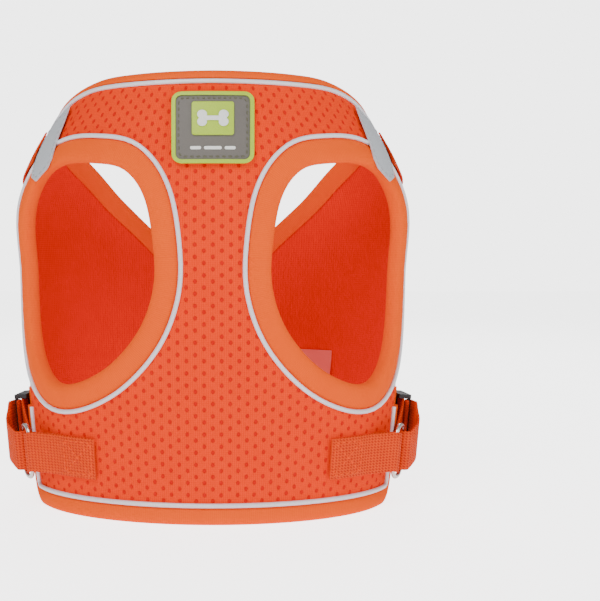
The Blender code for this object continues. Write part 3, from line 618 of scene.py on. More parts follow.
def relief(tree, shader, height, depth_mm, strength):
    """Small relief, whose depth is in millimetres."""
    bump = add(tree, "Bump", {"Height": height, "Distance": depth_mm / 1000, "Strength": strength})
    tree.links.new(bump.outputs[0], shader.inputs["Normal"])


# %% [markdown]
# ## Air mesh
#
# Air mesh is two knitted faces held apart by springy yarns, and its outer face has rows of small
# round holes. They could be cut through, but there are thousands and they are shallow, so they are
# relief and colour: two grids of cells, half a cell apart, each with a dot at its middle. The dots
# and the grooves between the ribs are darker: partly the deeper face seen through the holes, partly
# painted shade.

# %% Air mesh
HOLE_COLUMNS, HOLE_ROWS, HOLE = 8.6, 5.8, 1.55
HOLE_SQUASH, HOLE_CORE, HOLE_EDGE = 0.85, 0.36, 0.75
GRID_SHIFTS = ((0.0, 0.0, 0.0), (0.5, 0.5, 0.0))


def air_mesh():
    """Staggered round holes with fine ribs between them, darker in the holes and grooves: partly
    the deeper face, partly painted shade.
    """
    made, tree, shader, place = finish_start("air_mesh", 0.85, sheen=0.08, gloss=0.05)
    distances = []
    for shift in GRID_SHIFTS:
        cell = vectors(tree, "MULTIPLY", place, (1 / HOLE_COLUMNS, 1 / HOLE_ROWS, 0))
        cell = vectors(tree, "FRACTION", vectors(tree, "ADD", cell, shift))
        cell = vectors(tree, "SUBTRACT", cell, (0.5, 0.5, 0))
        cell = vectors(tree, "MULTIPLY", cell, (HOLE_COLUMNS, HOLE_ROWS * HOLE_SQUASH, 0))
        distances.append(vectors(tree, "LENGTH", cell))
    nearest = sums(tree, "MINIMUM", *distances)
    solid = add(tree, "MapRange", {"Value": nearest, "From Min": HOLE * HOLE_CORE,
                                   "From Max": HOLE * HOLE_EDGE})
    solid.interpolation_type = "SMOOTHSTEP"
    ribs = use(tree, RIBS, {"Place": place, "Rib": 1.1, "Loop": 0.9})["Height"]
    drift = use(tree, DRIFT, {"Place": place})["Shade"]
    # Darker in the holes and the grooves between ribs: partly the deeper face seen through the
    # holes, partly painted shade.
    bright = sums(tree, "MULTIPLY", solid.outputs[0], sums(tree, "MULTIPLY_ADD", ribs, 0.55, 0.45))
    shaded(tree, shader, (0.70, 0.003, 0.0), (1.0, 0.052, 0.0), bright, drift, 0.25)
    relief(tree, shader, sums(tree, "MULTIPLY_ADD", ribs, 0.22, solid.outputs[0]), 0.55, 0.8)
    return made


AIR_MESH = air_mesh()
print("a hole every", HOLE_COLUMNS, "by", HOLE_ROWS, "mm, in two staggered grids")

# %% [markdown]
# ## Knits and weaves
#
# The lining and the bindings are fine ribbed knits, the binding softer and paler. Webbing and
# thread are woven. Each has one helper, which takes its rib or yarn sizes, its two colours and its
# depth. The darker of the two colours is painted shade between the ribs or yarns.

# %% Knits and weaves
def knitted(name, dark, light, rib, loop, depth, sheen):
    """A matt knit, with painted shade between its ribs."""
    made, tree, shader, place = finish_start(name, 0.8, sheen=sheen, gloss=0.05)
    ribs = use(tree, RIBS, {"Place": place, "Rib": rib, "Loop": loop})["Height"]
    drift = use(tree, DRIFT, {"Place": place, "Slow": 0.08})["Shade"]
    # The darker colour between the ribs is painted shade.
    shaded(tree, shader, dark, light, sums(tree, "MULTIPLY_ADD", ribs, 0.6, 0.4), drift, 0.3)
    relief(tree, shader, ribs, depth, 0.6)
    return made


def webbing(name, dark, light, along, across, depth):
    """A close weave, with painted shade between its yarns."""
    made, tree, shader, place = finish_start(name, 0.6, sheen=0.08, gloss=0.12)
    yarns = use(tree, WEAVE, {"Place": place, "Along": along, "Across": across})["Height"]
    drift = use(tree, DRIFT, {"Place": place, "Slow": 0.1})["Shade"]
    # The darker colour between the yarns is painted shade.
    shaded(tree, shader, dark, light, sums(tree, "MULTIPLY_ADD", yarns, 1.1, -0.05), drift, 0.2)
    relief(tree, shader, yarns, depth, 0.8)
    return made


# Each knit's first colour is painted shade between its ribs.
LINING_KNIT = knitted("lining_knit", (0.66, 0.004, 0.0), (0.95, 0.018, 0.0), 1.5, 1.1, 0.25, 0.1)
BINDING_KNIT = knitted("binding_knit", (0.82, 0.050, 0.0), (1.0, 0.120, 0.002), 0.9, 0.7, 0.2, 0.1)
# Each weave's first colour is painted shade between its yarns.
STRAP_WEBBING = webbing("orange_webbing", (0.48, 0.008, 0.0), (1.0, 0.085, 0.0), 1.9, 1.4, 0.45)
THREAD = webbing("orange_thread", (0.95, 0.075, 0.0), (1.0, 0.170, 0.006), 0.5, 0.5, 0.05)
LABEL = webbing("care_label", (0.90, 0.20, 0.18), (1.0, 0.29, 0.26), 0.5, 0.5, 0.04)
print("knits and weaves:", LINING_KNIT.name, BINDING_KNIT.name, STRAP_WEBBING.name)

# %% [markdown]
# ## Reflective trim
#
# The piping and the shoulder strips are faced with tiny glass beads, which give a satin grey that
# sparkles a little. Small Voronoi cells stand for the beads, and the piping is the whiter one. Each
# bead's middle is a painted glint, and the gaps between beads are the grey backing with painted
# shade.

# %% Reflective trim
def reflective(name, dark, light, bead):
    """Glass beads on a grey backing with a satin sheen: painted glints on the beads, and the grey
    backing with painted shade between them.
    """
    made, tree, shader, place = finish_start(name, 0.38, metallic=0.15, own_map=False)
    beads = add(tree, "TexVoronoi", {"Vector": place, "Scale": bead}).outputs["Distance"]
    drift = use(tree, DRIFT, {"Place": place})["Shade"]
    # Painted glints: lighter at each bead's middle; the darker gaps are partly the grey backing,
    # partly painted shade.
    shaded(tree, shader, light, dark, sums(tree, "MULTIPLY", beads, 0.6), drift, 0.35)
    relief(tree, shader, beads, 0.05, 0.5)
    return made


# Each tape's light colour is its painted glint on the beads, and its dark colour is the grey
# backing with painted shade.
PIPING_TAPE = reflective("reflective_piping", (0.62, 0.62, 0.68), (0.90, 0.90, 0.94), 2.6)
GREY_TAPE = reflective("reflective_grey", (0.40, 0.42, 0.45), (0.62, 0.645, 0.68), 2.2)
# The grey thread's first colour is painted shade between its yarns.
GREY_THREAD = webbing("grey_thread", (0.42, 0.43, 0.45), (0.66, 0.67, 0.70), 0.5, 0.5, 0.05)
print("reflective:", PIPING_TAPE.name, GREY_TAPE.name)

# %% [markdown]
# ## Rubber, plastic and metal
#
# The patch is soft rubber, the sliders are black nylon and the rings are nickel plated. All have a
# fine grain and a roughness that changes a little over the surface, so one helper makes them.

# %% Rubber, plastic and metal
def moulded(name, dark, light, roughness, grain, depth, metallic=0.0):
    """A smooth solid with a fine grain, and duller in places."""
    made, tree, shader, place = finish_start(name, roughness, metallic, own_map=False)
    fine = add(tree, "TexNoise", {"Vector": place, "Scale": grain, "Detail": 4.0}).outputs[0]
    drift = use(tree, DRIFT, {"Place": place, "Slow": 0.15, "Fast": 2.5})["Shade"]
    shaded(tree, shader, dark, light, fine, drift, 0.4)
    rough = add(tree, "MapRange", {"Value": drift, "From Min": -0.4, "From Max": 0.4,
                                   "To Min": roughness * 0.8, "To Max": roughness * 1.2})
    tree.links.new(rough.outputs[0], shader.inputs["Roughness"])
    relief(tree, shader, fine, depth, 0.4)
    return made


PATCH_RUBBER = moulded("patch_rubber", (0.115, 0.102, 0.090), (0.165, 0.148, 0.130), 0.6, 3.0, 0.04)
LIME = moulded("lime_rubber", (0.36, 0.52, 0.010), (0.50, 0.70, 0.030), 0.5, 2.0, 0.02)
WHITE = moulded("white_rubber", (0.78, 0.78, 0.74), (0.90, 0.90, 0.88), 0.5, 2.0, 0.02)
PATCH_THREAD = moulded("patch_thread", (0.09, 0.085, 0.055), (0.15, 0.140, 0.090), 0.7, 4.0, 0.03)
NICKEL = moulded("nickel_steel", (0.66, 0.64, 0.60), (0.80, 0.78, 0.74), 0.24, 1.2, 0.01, 1.0)
BLACK = moulded("black_plastic", (0.012, 0.012, 0.013), (0.030, 0.030, 0.032), 0.42, 4.0, 0.03)
print("moulded:", PATCH_RUBBER.name, LIME.name, WHITE.name, NICKEL.name, BLACK.name)


# %% Hook and loop tape
def hook_and_loop():
    """A pile of small tufts, with painted shade where they part."""
    made, tree, shader, place = finish_start("hook_and_loop", 0.95, sheen=0.4)
    tufts = add(tree, "TexVoronoi", {"Vector": place, "Scale": 1.1}).outputs["Distance"]
    # The darker colour where the tufts part is painted shade.
    shaded(tree, shader, (0.90, 0.075, 0.0), (0.50, 0.020, 0.0), tufts)
    relief(tree, shader, tufts, -0.5, 0.8)
    return made


PILE = hook_and_loop()
print(len(bpy.data.materials), "materials")

# %% [markdown]
# ## Panels and linings
#
# The chest is one panel. Each half of the back is one panel too, and its free end is the flap that
# closes over the back, so one cut of cloth covers both the back and the flap. The panels run a
# millimetre under their bindings, as sewn cloth does.

# %% The chest's outline
MESH, LINING = (0.0013, 0.0043), (0.0, 0.0008)
TUCK, SHOULDER_GAP = 0.001, 0.0001
PANEL_CORNER, CORNER_STEPS, UNDERARM = 0.005, 5, 0.082


def chest_outline():
    edge, foot = u_at(CHEST_SIDE) - HEM_BINDING + TUCK, HEM_BINDING - TUCK
    shoulder = u_at(SHOULDER_SEAM) - SHOULDER_GAP
    neck = neck_path(-shoulder, shoulder, NECK_BINDING - TUCK)
    corner = arc((edge - PANEL_CORNER, foot + PANEL_CORNER), PANEL_CORNER, 270, 360, CORNER_STEPS)
    right = [*corner, (edge, UNDERARM), (shoulder, UNDERARM)]
    return [*right, *neck[::-1], *[(-u, z) for u, z in right[::-1]]]


# %% [markdown]
# ## The flat size of a cut
#
# A sewn panel is neither stretched nor shrunk by much, so each one keeps the size that it was cut
# to. The UV map still holds that, so it is read back from there.


def cut_sheet(obj):
    """Reads back the flat size that a panel's UV map holds for its two faces."""
    flat = np.empty(2 * len(obj.data.loops))
    obj.data.uv_layers.active.data.foreach_get("uv", flat)
    flat = flat.reshape(-1, 2)


# %% The chest and its lining
CLOTH_CELL, CHEST_LINING_CELL, BACK_LINING_CELL = 0.0045, 0.007, 0.006

leg_holes = [leg_path(side, LEG_BINDING - TUCK)[:-1] for _, side in SIDES]
chest = cut_cloth("chest_cloth", chest_outline(), MESH, leg_holes, CLOTH_CELL)
dress(chest, AIR_MESH)
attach(chest, "vest")
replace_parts(chest, "chest_panel")
cut_sheet(chest)
inner = cut_cloth("chest_inner", chest_outline(), LINING, leg_holes, CHEST_LINING_CELL)
dress(inner, LINING_KNIT)
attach(inner, "vest")
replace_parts(inner, "chest_lining")
cut_sheet(inner)
print("chest:", len(chest.data.polygons), "faces")

# %% [markdown]
# ## Back halves, each with its flap
#
# Each back half runs from the shoulder and the side round to its flap. The right flap lies over the
# left one, so it lifts off the body there. Each half has an upright line where its flap turns.

# %% The line where a flap turns
BEND_HALF, BEND_HEIGHT, BEND_W = 0.006, 0.08, 0.003


def bend_line(side):
    """Two points either side of the line where a flap bends, just along the cloth from it."""
    ends = [(side * (HINGE_U + d), BEND_HEIGHT, BEND_W) for d in (-BEND_HALF, BEND_HALF)]
    return wrap(ends).tolist()


def bends(obj, side):
    """Works out the two points either side of a flap's bend, and bakes the piece's place into its
    mesh.
    """
    start, end = bend_line(side)
    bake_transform(obj)


# %% Cut the back halves
SHOULDER_END, UNDERARM_POINT, SIDE_RISE = 0.120, (76, 0.090), 0.012
LIFTS = {"left": None, "right": flap_lift}


def back_outline(side):
    edge, foot = u_at(BACK_SIDE) + HEM_BINDING - TUCK, HEM_BINDING - TUCK
    shoulder, end = u_at(SHOULDER_SEAM) + SHOULDER_GAP, HALF_GIRTH + FLAP_EDGE - HEM_BINDING + TUCK
    first, last = ((u, foot + PANEL_CORNER) for u in (end - PANEL_CORNER, edge + PANEL_CORNER))
    degrees, height = UNDERARM_POINT
    path = [*arc(first, PANEL_CORNER, 270, 360, CORNER_STEPS),
            *neck_path(shoulder, end, NECK_BINDING - TUCK)[::-1], (shoulder, SHOULDER_END),
            (u_at(degrees), height), (edge, SIDE_TOP + SIDE_RISE),
            *arc(last, PANEL_CORNER, 180, 270, CORNER_STEPS)]
    return sided(path, side)


for label, side in SIDES:
    lift, outline = LIFTS[label], back_outline(side)
    hole = [leg_path(side, LEG_BINDING - TUCK)[:-1]]
    cloth = cut_cloth(f"{label}_back_cloth", outline, MESH, hole, CLOTH_CELL, lift=lift)
    bends(dress(cloth, AIR_MESH), side)
    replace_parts(cloth, f"{label}_back_panel", f"{label}_flap_panel")
    cut_sheet(cloth)
    knit = cut_cloth(f"{label}_back_inner", outline, LINING, hole, BACK_LINING_CELL, lift=lift)
    bends(dress(knit, LINING_KNIT), side)
    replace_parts(knit, f"{label}_back_lining", f"{label}_flap_lining")
    cut_sheet(knit)
    print(label, "back:", len(cloth.data.polygons), "faces")

# %% [markdown]
# ## Bindings and piping
#
# The edges are bound with a padded strip folded over the cloth. Its section is round and full at
# the edge and thin at the seam, where the stitches pull it in a little at each step. Thin white
# piping is caught in the seam.

# %% Sections
SECTION_STEP = 0.0011


def closed_curve(points):
    return spline(points, True, SECTION_STEP)[:-1]


def padded_section(width, low, high, seam_low, seam_high):
    """Half of the binding outside the cloth and half inside, as (distance in from the edge, w)."""
    middle = (low + high) / 2
    return closed_curve([
        (0.0, middle), (0.035 * width, middle + 0.27 * (high - low)),
        (0.16 * width, high - 0.0006),
        (0.38 * width, high), (0.68 * width, high - 0.0002), (0.92 * width, seam_high + 0.0004),
        (width, seam_high - 0.0006), (width, seam_low + 0.0006), (0.92 * width, seam_low),
        (0.62 * width, low + 0.0001), (0.36 * width, low), (0.14 * width, low + 0.0006),
        (0.03 * width, middle - 0.27 * (high - low)),
    ])


def hem_section(width, low, high):
    """The hem's section, with a flat foot that the vest stands on."""
    return closed_curve([
        (0.0, low + 0.0022), (0.0, high - 0.0022), (0.0006, high - 0.0008), (0.0024, high),
        (0.60 * width, high), (0.92 * width, high - 0.0010), (width, high - 0.0020),
        (width, low + 0.0012), (0.9 * width, low + 0.0004), (0.5 * width, low), (0.0024, low),
        (0.0006, low + 0.0008),
    ])


def neck_section(low, high):
    """The neck's section: narrow outside the vest, and wide inside over the lining."""
    middle = (low + high) / 2
    return closed_curve([
        (0.0, middle), (0.0003, middle + 0.3 * (high - low)), (0.0014, high - 0.0002),
        (0.0030, high), (0.0042, high - 0.0005), (0.0044, high - 0.0016), (0.0044, 0.0010),
        (0.0052, -0.0002),
        (0.0098, -0.0003), (0.0106, -0.0009), (0.0098, -0.0015), (0.0050, -0.0018),
        (0.0014, low), (0.0003, middle - 0.3 * (high - low)),
    ])


# %% Bind and pipe an edge
LOW, LEG_LOW, HIGH = -0.0014, -0.0026, 0.0058
PIPING_W, FILL = 0.0049, 0.6


def piped(name, path, closed, replaced):
    """A cord of piping along a path, out at the face of the cloth."""
    line = wrap(np.column_stack([path, np.full(len(path), PIPING_W)]))
    piece = dress(tube(name, line, PIPING, closed), PIPING_TAPE)
    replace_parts(piece, *replaced)
    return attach(piece, "vest")


def bound(name, path, section, closed, replaced, lift=None):
    """A padded binding rolled along a path."""
    piece = dress(rolled(name, path, section, closed, lift), BINDING_KNIT, 60)
    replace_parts(piece, *replaced)
    return piece


# %% Leg openings
leg_roll = padded_section(LEG_BINDING, LEG_LOW, HIGH, -0.0004, 0.0046)
for label, side in SIDES:
    leg = bound(f"{label}_leg_roll", leg_path(side, 0), leg_roll, True, [f"{label}_leg_binding"])
    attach(leg, "vest")
    seam = leg_path(side, LEG_BINDING + SEAM / 2)
    piped(f"{label}_leg_cord", seam, True, [f"{label}_leg_piping"])
print("leg rolls:", len(leg.data.polygons), "faces each")

# %% [markdown]
# ## Neckline
#
# One binding goes over the chest from shoulder to shoulder, and one down each back half to the end
# of its flap. The piping stops just before the flaps, because it would not bend with them.

# %% Neckline
NECK_END_GAP, NECK_CORD_END = 0.0005, 149.4

neck_roll = neck_section(LOW, HIGH)
shoulder, flap_end = u_at(SHOULDER_SEAM), HALF_GIRTH + FLAP_EDGE - NECK_END_GAP
front_path = neck_path(-shoulder, shoulder)[::-1]
front_neck = bound("front_neck_roll", front_path, neck_roll, False, ["neck_binding"])
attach(front_neck, "vest")
for label, side in SIDES:
    path = sided(neck_path(shoulder, flap_end)[::-1], side)
    piece = bound(f"{label}_neck_roll", path, neck_roll, False, [f"{label}_flap_neck_binding"],
                  LIFTS[label])
    bends(piece, side)
cord_end = u_at(NECK_CORD_END)
cord_path = neck_path(-cord_end, cord_end, NECK_BINDING + SEAM / 2)
piped("neck_cord", cord_path, False, ["neck_piping"])
print("neck rolls:", len(front_neck.data.polygons), "faces at the front")

# %% [markdown]
# ## Hems
#
# The hem's binding also goes up the open edges: the sides under the arms, and the ends of the
# flaps. Its lower edge is flat, because the vest stands on it.

# %% Hem paths
HEM_STEP, CORNER_GAP, HEM_CORNER_STEPS = 0.0025, 0.001, 12


def side_and_corner(angle, turn, ground, top):
    """Down an open side edge and round the hem's corner."""
    edge = u_at(angle)
    corner = arc((edge + CORNER, ground + CORNER), CORNER, 180, 270, HEM_CORNER_STEPS)
    if turn < 0:
        corner = [(2 * edge - u, z) for u, z in corner]
    heights = np.arange(top, ground + CORNER + CORNER_GAP, -HEM_STEP)
    return [(edge, z) for z in heights] + corner


def straight(u0, u1, z0, z1):
    count = max(2, round(abs(u1 - u0) / HEM_STEP))
    return list(zip(np.linspace(u0, u1, count), np.linspace(z0, z1, count)))[1:]


# %% Bind the hems
BACK_LOW, BACK_HIGH, BACK_TOP, FLAP_TOP = -0.0008, 0.0052, 0.008, 0.094

half_chest = side_and_corner(CHEST_SIDE, -1, 0, SIDE_TOP)
half_chest += straight(half_chest[-1][0], 0, 0, 0)
chest_hem = np.array([(-u, z) for u, z in half_chest[:-1]] + half_chest[::-1])
hem_roll = hem_section(HEM_BINDING, LOW, HIGH)
hem = bound("chest_hem_roll", chest_hem, hem_roll, False, ["chest_hem_binding"])
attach(hem, "vest")
piped("hem_cord", beside(chest_hem, HEM_BINDING + SEAM / 2), False, ["hem_piping"])

back_roll = hem_section(HEM_BINDING, BACK_LOW, BACK_HIGH)
for label, side in SIDES:
    rise = side_and_corner(0, -1, FLAP_GROUND, FLAP_TOP)
    rise = [(u + HALF_GIRTH + FLAP_EDGE, z) for u, z in rise]
    path = side_and_corner(BACK_SIDE, 1, 0, SIDE_TOP + BACK_TOP)
    path += straight(path[-1][0], HINGE_U, 0, 0)
    path += straight(HINGE_U, rise[-1][0], 0, FLAP_GROUND) + rise[::-1][1:]
    piece = bound(f"{label}_hem_roll", sided(path, side), back_roll, False,
                  [f"{label}_back_hem_binding", f"{label}_flap_hem_binding"], LIFTS[label])
    bends(piece, side)
print("hems bound")

# %% [markdown]
# ## Webbing, rings and sliders
#
# A strap is laid along the middle line that it takes in use: flat where it is sewn, round the ring
# in a fold, and straight through the slider. A station is a small flat frame on the body that the
# hardware is placed by.

# %% Stations on the body
WEBBING_WIDTH, WEBBING = 0.020, 0.0011
STRAP_HEIGHT = 0.0295
RING_WIDTH, RING_HEIGHT, RING_CORNER, RING_WIRE = 0.0120, 0.0263, 0.0052, 0.0011
RING_ANGLE, RING_W, WIRE_SIDES = 71.0, 0.0106, 14
CHEST_LOOP, SIDE_LOOP, END_LOOP = 0.0024, 0.0039, 0.0019
SLIDER_ANGLE, SLIDER_HEIGHT, SLIDER_LENGTH, SLIDER_BAR = 96.0, 0.0425, 0.0174, 0.0014
RUN_W = 0.0083
FRONT_BAR_W = RUN_W + WEBBING + 0.0004 + END_LOOP
LAYER_IN = MESH[1] + WEBBING / 2 + 0.0001
LAYER_OUT = LAYER_IN + WEBBING


def place_and_up(degrees, z, w, side):
    u = side * u_at(degrees)
    place, low, high = wrap([(u, z, w), (u, z - 0.01, 0), (u, z + 0.01, 0)])
    return place, (high - low) / np.linalg.norm(high - low)


def on_body(side, stretches):
    return [place_and_up(*stretch, side) for stretch in stretches]


# %% A station, and a strap
class Station:
    """A flat frame on the body: along runs to the back, up runs up the body and out leaves it."""

    def __init__(self, degrees, z, side):
        self.foot, self.up = place_and_up(degrees, z, 0, side)
        level = place_and_up(degrees, z, 1, side)[0] - self.foot
        level = level - self.up * level.dot(self.up)
        self.out = level / np.linalg.norm(level)
        self.along = np.cross(self.up, self.out) * side

    def at(self, along, out, up=0.0):
        return self.foot + self.along * along + self.out * out + self.up * up

    def half_turn(self, centre, out, radius, direction, steps, first=-90, last=90):
        turns = np.radians(np.linspace(first, last, steps))
        return [(self.at(centre + direction * radius * math.cos(a), out + radius * math.sin(a)),
                 self.up) for a in turns]

    def line(self, points):
        return [(self.at(along, out), self.up) for along, out in points]


def strap(name, both, replaced):
    """A length of webbing through places, each with the direction across the webbing."""
    line, ups = zip(*both)
    piece = dress(woven(name, line, ups, WEBBING_WIDTH, WEBBING), STRAP_WEBBING, 50)
    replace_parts(piece, *replaced)
    return piece


# %% [markdown]
# ## Side straps
#
# The chest strap is sewn down, goes through the square ring and comes back over itself. The
# adjusting strap is sewn to the back, runs under the slider, goes round the ring, and its free end
# folds round the slider's bar. That free end runs from the ring to the slider.

# %% Chest straps, side rings and adjusting straps
for label, side in SIDES:
    ring = Station(RING_ANGLE, STRAP_HEIGHT, side)
    run = Station(SLIDER_ANGLE, SLIDER_HEIGHT, side)
    under = [(degrees, STRAP_HEIGHT, LAYER_IN) for degrees in (41, 45, 49, 53, 57)]
    over = [(64.5, 0.0124), (61.5, 0.0102), (57.5, 0.0078), (53.5, LAYER_OUT + 0.0001)]
    over += [(degrees, LAYER_OUT) for degrees in (49, 45, 41, 37)]
    both = on_body(side, under) + ring.half_turn(-RING_WIDTH / 2, RING_W, CHEST_LOOP, 1, 9)
    both += on_body(side, [(degrees, STRAP_HEIGHT, w) for degrees, w in over])
    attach(strap(f"{label}_chest_webbing", both, [f"{label}_chest_strap"]), "vest")

    sewn = [(degrees, SLIDER_HEIGHT, LAYER_IN) for degrees in (139, 135, 131, 127, 123, 119)]
    sewn += [(115, SLIDER_HEIGHT, 0.0060), (110, SLIDER_HEIGHT, 0.0079)]
    both = on_body(side, sewn) + run.line([(along, RUN_W) for along in (0.010, 0.0, -0.009)])
    both += ring.half_turn(RING_WIDTH / 2, RING_W, SIDE_LOOP, -1, 11)
    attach(strap(f"{label}_side_webbing", both, [f"{label}_adjusting_strap"]), "vest")

    outer = [(78, 0.0302, 0.0164), (80.5, 0.0318, 0.0172), (83, 0.0345, 0.0171)]
    top, bottom = FRONT_BAR_W + END_LOOP, FRONT_BAR_W - END_LOOP
    reach = (SLIDER_LENGTH - SLIDER_BAR) / 2
    both = ring.half_turn(RING_WIDTH / 2, RING_W, SIDE_LOOP, -1, 3, 74, 90) + on_body(side, outer)
    both += run.line([(-0.0175, top - 0.0009), (-0.0125, top)])
    both += run.half_turn(-reach, FRONT_BAR_W, END_LOOP, 1, 9, 90, -90)
    both += run.line([(-0.0125, bottom)])
    end = strap(f"{label}_free_webbing", both, [f"{label}_strap_end"])
    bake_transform(end)

    outline = np.array(rounded_box((0, 0), RING_WIDTH, RING_HEIGHT, RING_CORNER, 9))
    outline = np.concatenate([outline, outline[:1]])
    hoop = [ring.at(along, RING_W, up) for along, up in outline]
    hoop = tube(f"{label}_square_ring", hoop, RING_WIRE, True, WIRE_SIDES)
    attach(dress(hoop, NICKEL), f"{label}_side_ring")
    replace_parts(hoop, f"{label}_side_ring")
print("side straps and rings placed")

# %% [markdown]
# ## Back webbing and lead rings
#
# A strap runs from each shoulder down the back to the flap, and carries a ring for a lead. It is
# sewn flat, so it is laid on the pattern and wrapped with the cloth. Only its short fold round the
# ring stands off the body.

# %% Flat webbing
BACK_WEBBING = (
    (78.0, 0.1840), (84, 0.1805), (92, 0.1765), (104, 0.1705), (118, 0.1630), (134, 0.1520),
    (144, 0.1410), (150, 0.1325), (157.5, 0.1190),
)
WEBBING_RISE, RISE_FROM, RISE_TO = 0.0019, u_at(104), u_at(90)

coarse_line, fine_line = (spline(on_pattern(BACK_WEBBING), False, step) for step in (0.009, 0.0025))
TAIL = coarse_line[-1]
HEADING = (TAIL - coarse_line[-2]) / np.linalg.norm(TAIL - coarse_line[-2])


def webbing_lift(u):
    """The webbing climbs onto the binding and its piping at the shoulder."""
    s = np.clip((RISE_FROM - np.abs(u)) / (RISE_FROM - RISE_TO), 0, 1)
    return WEBBING_RISE * s * s * (3 - 2 * s)


SELVEDGE = 0.0004


def flat_strip(name, line, w, lift):
    """Webbing sewn flat: its section is laid on the pattern and wrapped with the cloth."""
    half, thin = WEBBING_WIDTH / 2, WEBBING / 2
    section = [(d, thin) for d in np.linspace(-half + SELVEDGE, half - SELVEDGE, 9)]
    section += [(half, 0)] + [(d, -thin) for d, _ in section[::-1]] + [(-half, 0)]
    sides = normals(line, False)
    rows = [wrap(np.array([(u + s[0] * d, z + s[1] * d, w + h) for d, h in section]), lift)
            for (u, z), s in zip(line, sides)]
    return long_tube(name, np.array(rows), True)


# %% Sew the webbing, its fold and its ring
LEAD_RING_REACH, LEAD_RING_DEPTH, LEAD_RING_WIRE, LEAD_RING_W = 0.0130, 0.0165, 0.0014, 0.0078
FOLD_RADIUS = LEAD_RING_WIRE + WEBBING / 2 + 0.0002
BAR_END, ARCH_POWER, NEAR = 0.0017, 0.6, 0.009

for label, side in SIDES:
    lift = LIFTS[label]

    def lifted(u):
        return webbing_lift(u) + (lift(u) if lift else 0)

    def place(ahead, across, w=LEAD_RING_W):
        u, z = TAIL + HEADING * ahead + np.array([HEADING[1], -HEADING[0]]) * across
        return wrap([(side * u, z, w)], lift)[0]

    middle = place(0, 0)
    ahead = place(NEAR, 0) - place(-NEAR, 0)
    ahead /= np.linalg.norm(ahead)
    across = place(0, NEAR) - place(0, -NEAR)
    across -= ahead * across.dot(ahead)
    across /= np.linalg.norm(across)
    out = np.cross(across, ahead) * side

    strip = flat_strip(f"{label}_back_strip", sided(fine_line[:-3], side), LAYER_IN, lifted)
    bends(dress(strip, STRAP_WEBBING, 50), side)
    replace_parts(strip, f"{label}_back_webbing")

    turns = np.radians(np.linspace(90, -90, 9))
    loop = [(-0.0125, LAYER_OUT - LEAD_RING_W), (-0.0090, 0.0002), (-0.004, FOLD_RADIUS - 0.0003)]
    loop += [(FOLD_RADIUS * math.cos(a), FOLD_RADIUS * math.sin(a)) for a in turns]
    loop += [(-0.004, -FOLD_RADIUS), (-0.0086, -FOLD_RADIUS)]
    loop = [(middle + ahead * along + out * off, across) for along, off in loop]
    fold = strap(f"{label}_ring_fold", loop, [f"{label}_ring_tab"])
    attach(fold, f"{label}_flap")

    bar = LEAD_RING_REACH - BAR_END
    outline = [(0, wide) for wide in np.linspace(-bar, bar, 9)]
    for turn in np.radians(np.linspace(6, 174, 57)):
        cosine = math.cos(turn)
        outline.append((LEAD_RING_DEPTH * math.sin(turn),
                        LEAD_RING_REACH * math.copysign(abs(cosine) ** ARCH_POWER, cosine)))
    outline.append(outline[0])
    hoop = [middle + ahead * a + across * b for a, b in outline]
    hoop = tube(f"{label}_d_ring", hoop, LEAD_RING_WIRE, True, WIRE_SIDES)
    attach(dress(hoop, NICKEL), f"{label}_lead_ring")
    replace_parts(hoop, f"{label}_lead_ring")
print("rings and webbing placed")

# %% [markdown]
# ## Moulded sliders
#
# The frame already has each slider's bars and rails at their true places. A copy of it gets the
# rounded edges that a moulding has, and a fine grain.

# %% Sliders
MOULD_EDGE, FLAT_ANGLE, EDGE_ANGLE = 0.0003, 2, 40


def moulded_copy(name, node, look, body):
    """A copy of a frame's piece, with its flat faces joined and its edges rounded."""
    deselect()
    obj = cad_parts[node].copy()
    obj.data = obj.data.copy()
    bpy.context.scene.collection.objects.link(obj)
    obj.parent = None
    obj.matrix_world = Matrix.Identity(4)
    obj.name = obj.data.name = name
    pick(obj)
    bpy.ops.object.mode_set(mode="EDIT")
    bpy.ops.mesh.select_all(action="SELECT")
    bpy.ops.mesh.remove_doubles(threshold=1e-6)
    bpy.ops.mesh.dissolve_limited(angle_limit=math.radians(FLAT_ANGLE))
    bpy.ops.object.mode_set(mode="OBJECT")
    modify(obj, "BEVEL", width=MOULD_EDGE, segments=3, limit_method="ANGLE",
           angle_limit=math.radians(EDGE_ANGLE))
    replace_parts(dress(obj, look, 35), node)
    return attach(obj, body)


for label, _ in SIDES:
    slider = moulded_copy(f"{label}_moulded_slider", f"{label}_slider", BLACK, f"{label}_slider")
print("sliders:", len(slider.data.polygons), "faces each")

# %% [markdown]
# ## The patch
#
# The patch is moulded rubber in layers: a grey base, a lime rim and block, and a white bone over
# three dashes. Each layer is cut with fine cells, so it bends with the chest, and its top edges are
# softened.

# %% Patch shapes
PATCH_CENTRE, PATCH_WIDTH, PATCH_HEIGHT, PATCH_CORNER = 0.1893, 0.0374, 0.0350, 0.0045
RIM, EMBLEM_CENTRE, EMBLEM_WIDTH, EMBLEM_HEIGHT = 0.0019, 0.1935, 0.0190, 0.0164
KNOB, KNOB_U, KNOB_Z, SHAFT = 0.0022, 0.0048, 0.0018, 0.0011


def bone_outline(centre):
    """A plain dog bone: a shaft with two knobs at each end."""
    meet = math.degrees(math.asin((SHAFT - KNOB_Z) / KNOB))
    notch = math.degrees(math.asin(-KNOB_Z / KNOB))
    upper = arc((KNOB_U, KNOB_Z), KNOB, notch, 180 - meet, 17)
    right = [(u, -z) for u, z in upper[::-1]][:-1] + upper
    return [(u, z + centre) for u, z in right + [(-u, -z) for u, z in right]]


def level(flat):
    """Keeps a piece's width at every height, where the body narrows towards the neck."""
    flat[:, 0] *= GIRTH_WIDTH / smooth_through(WIDTH_HEIGHTS, HALF_WIDTHS, flat[:, 1])
    return flat


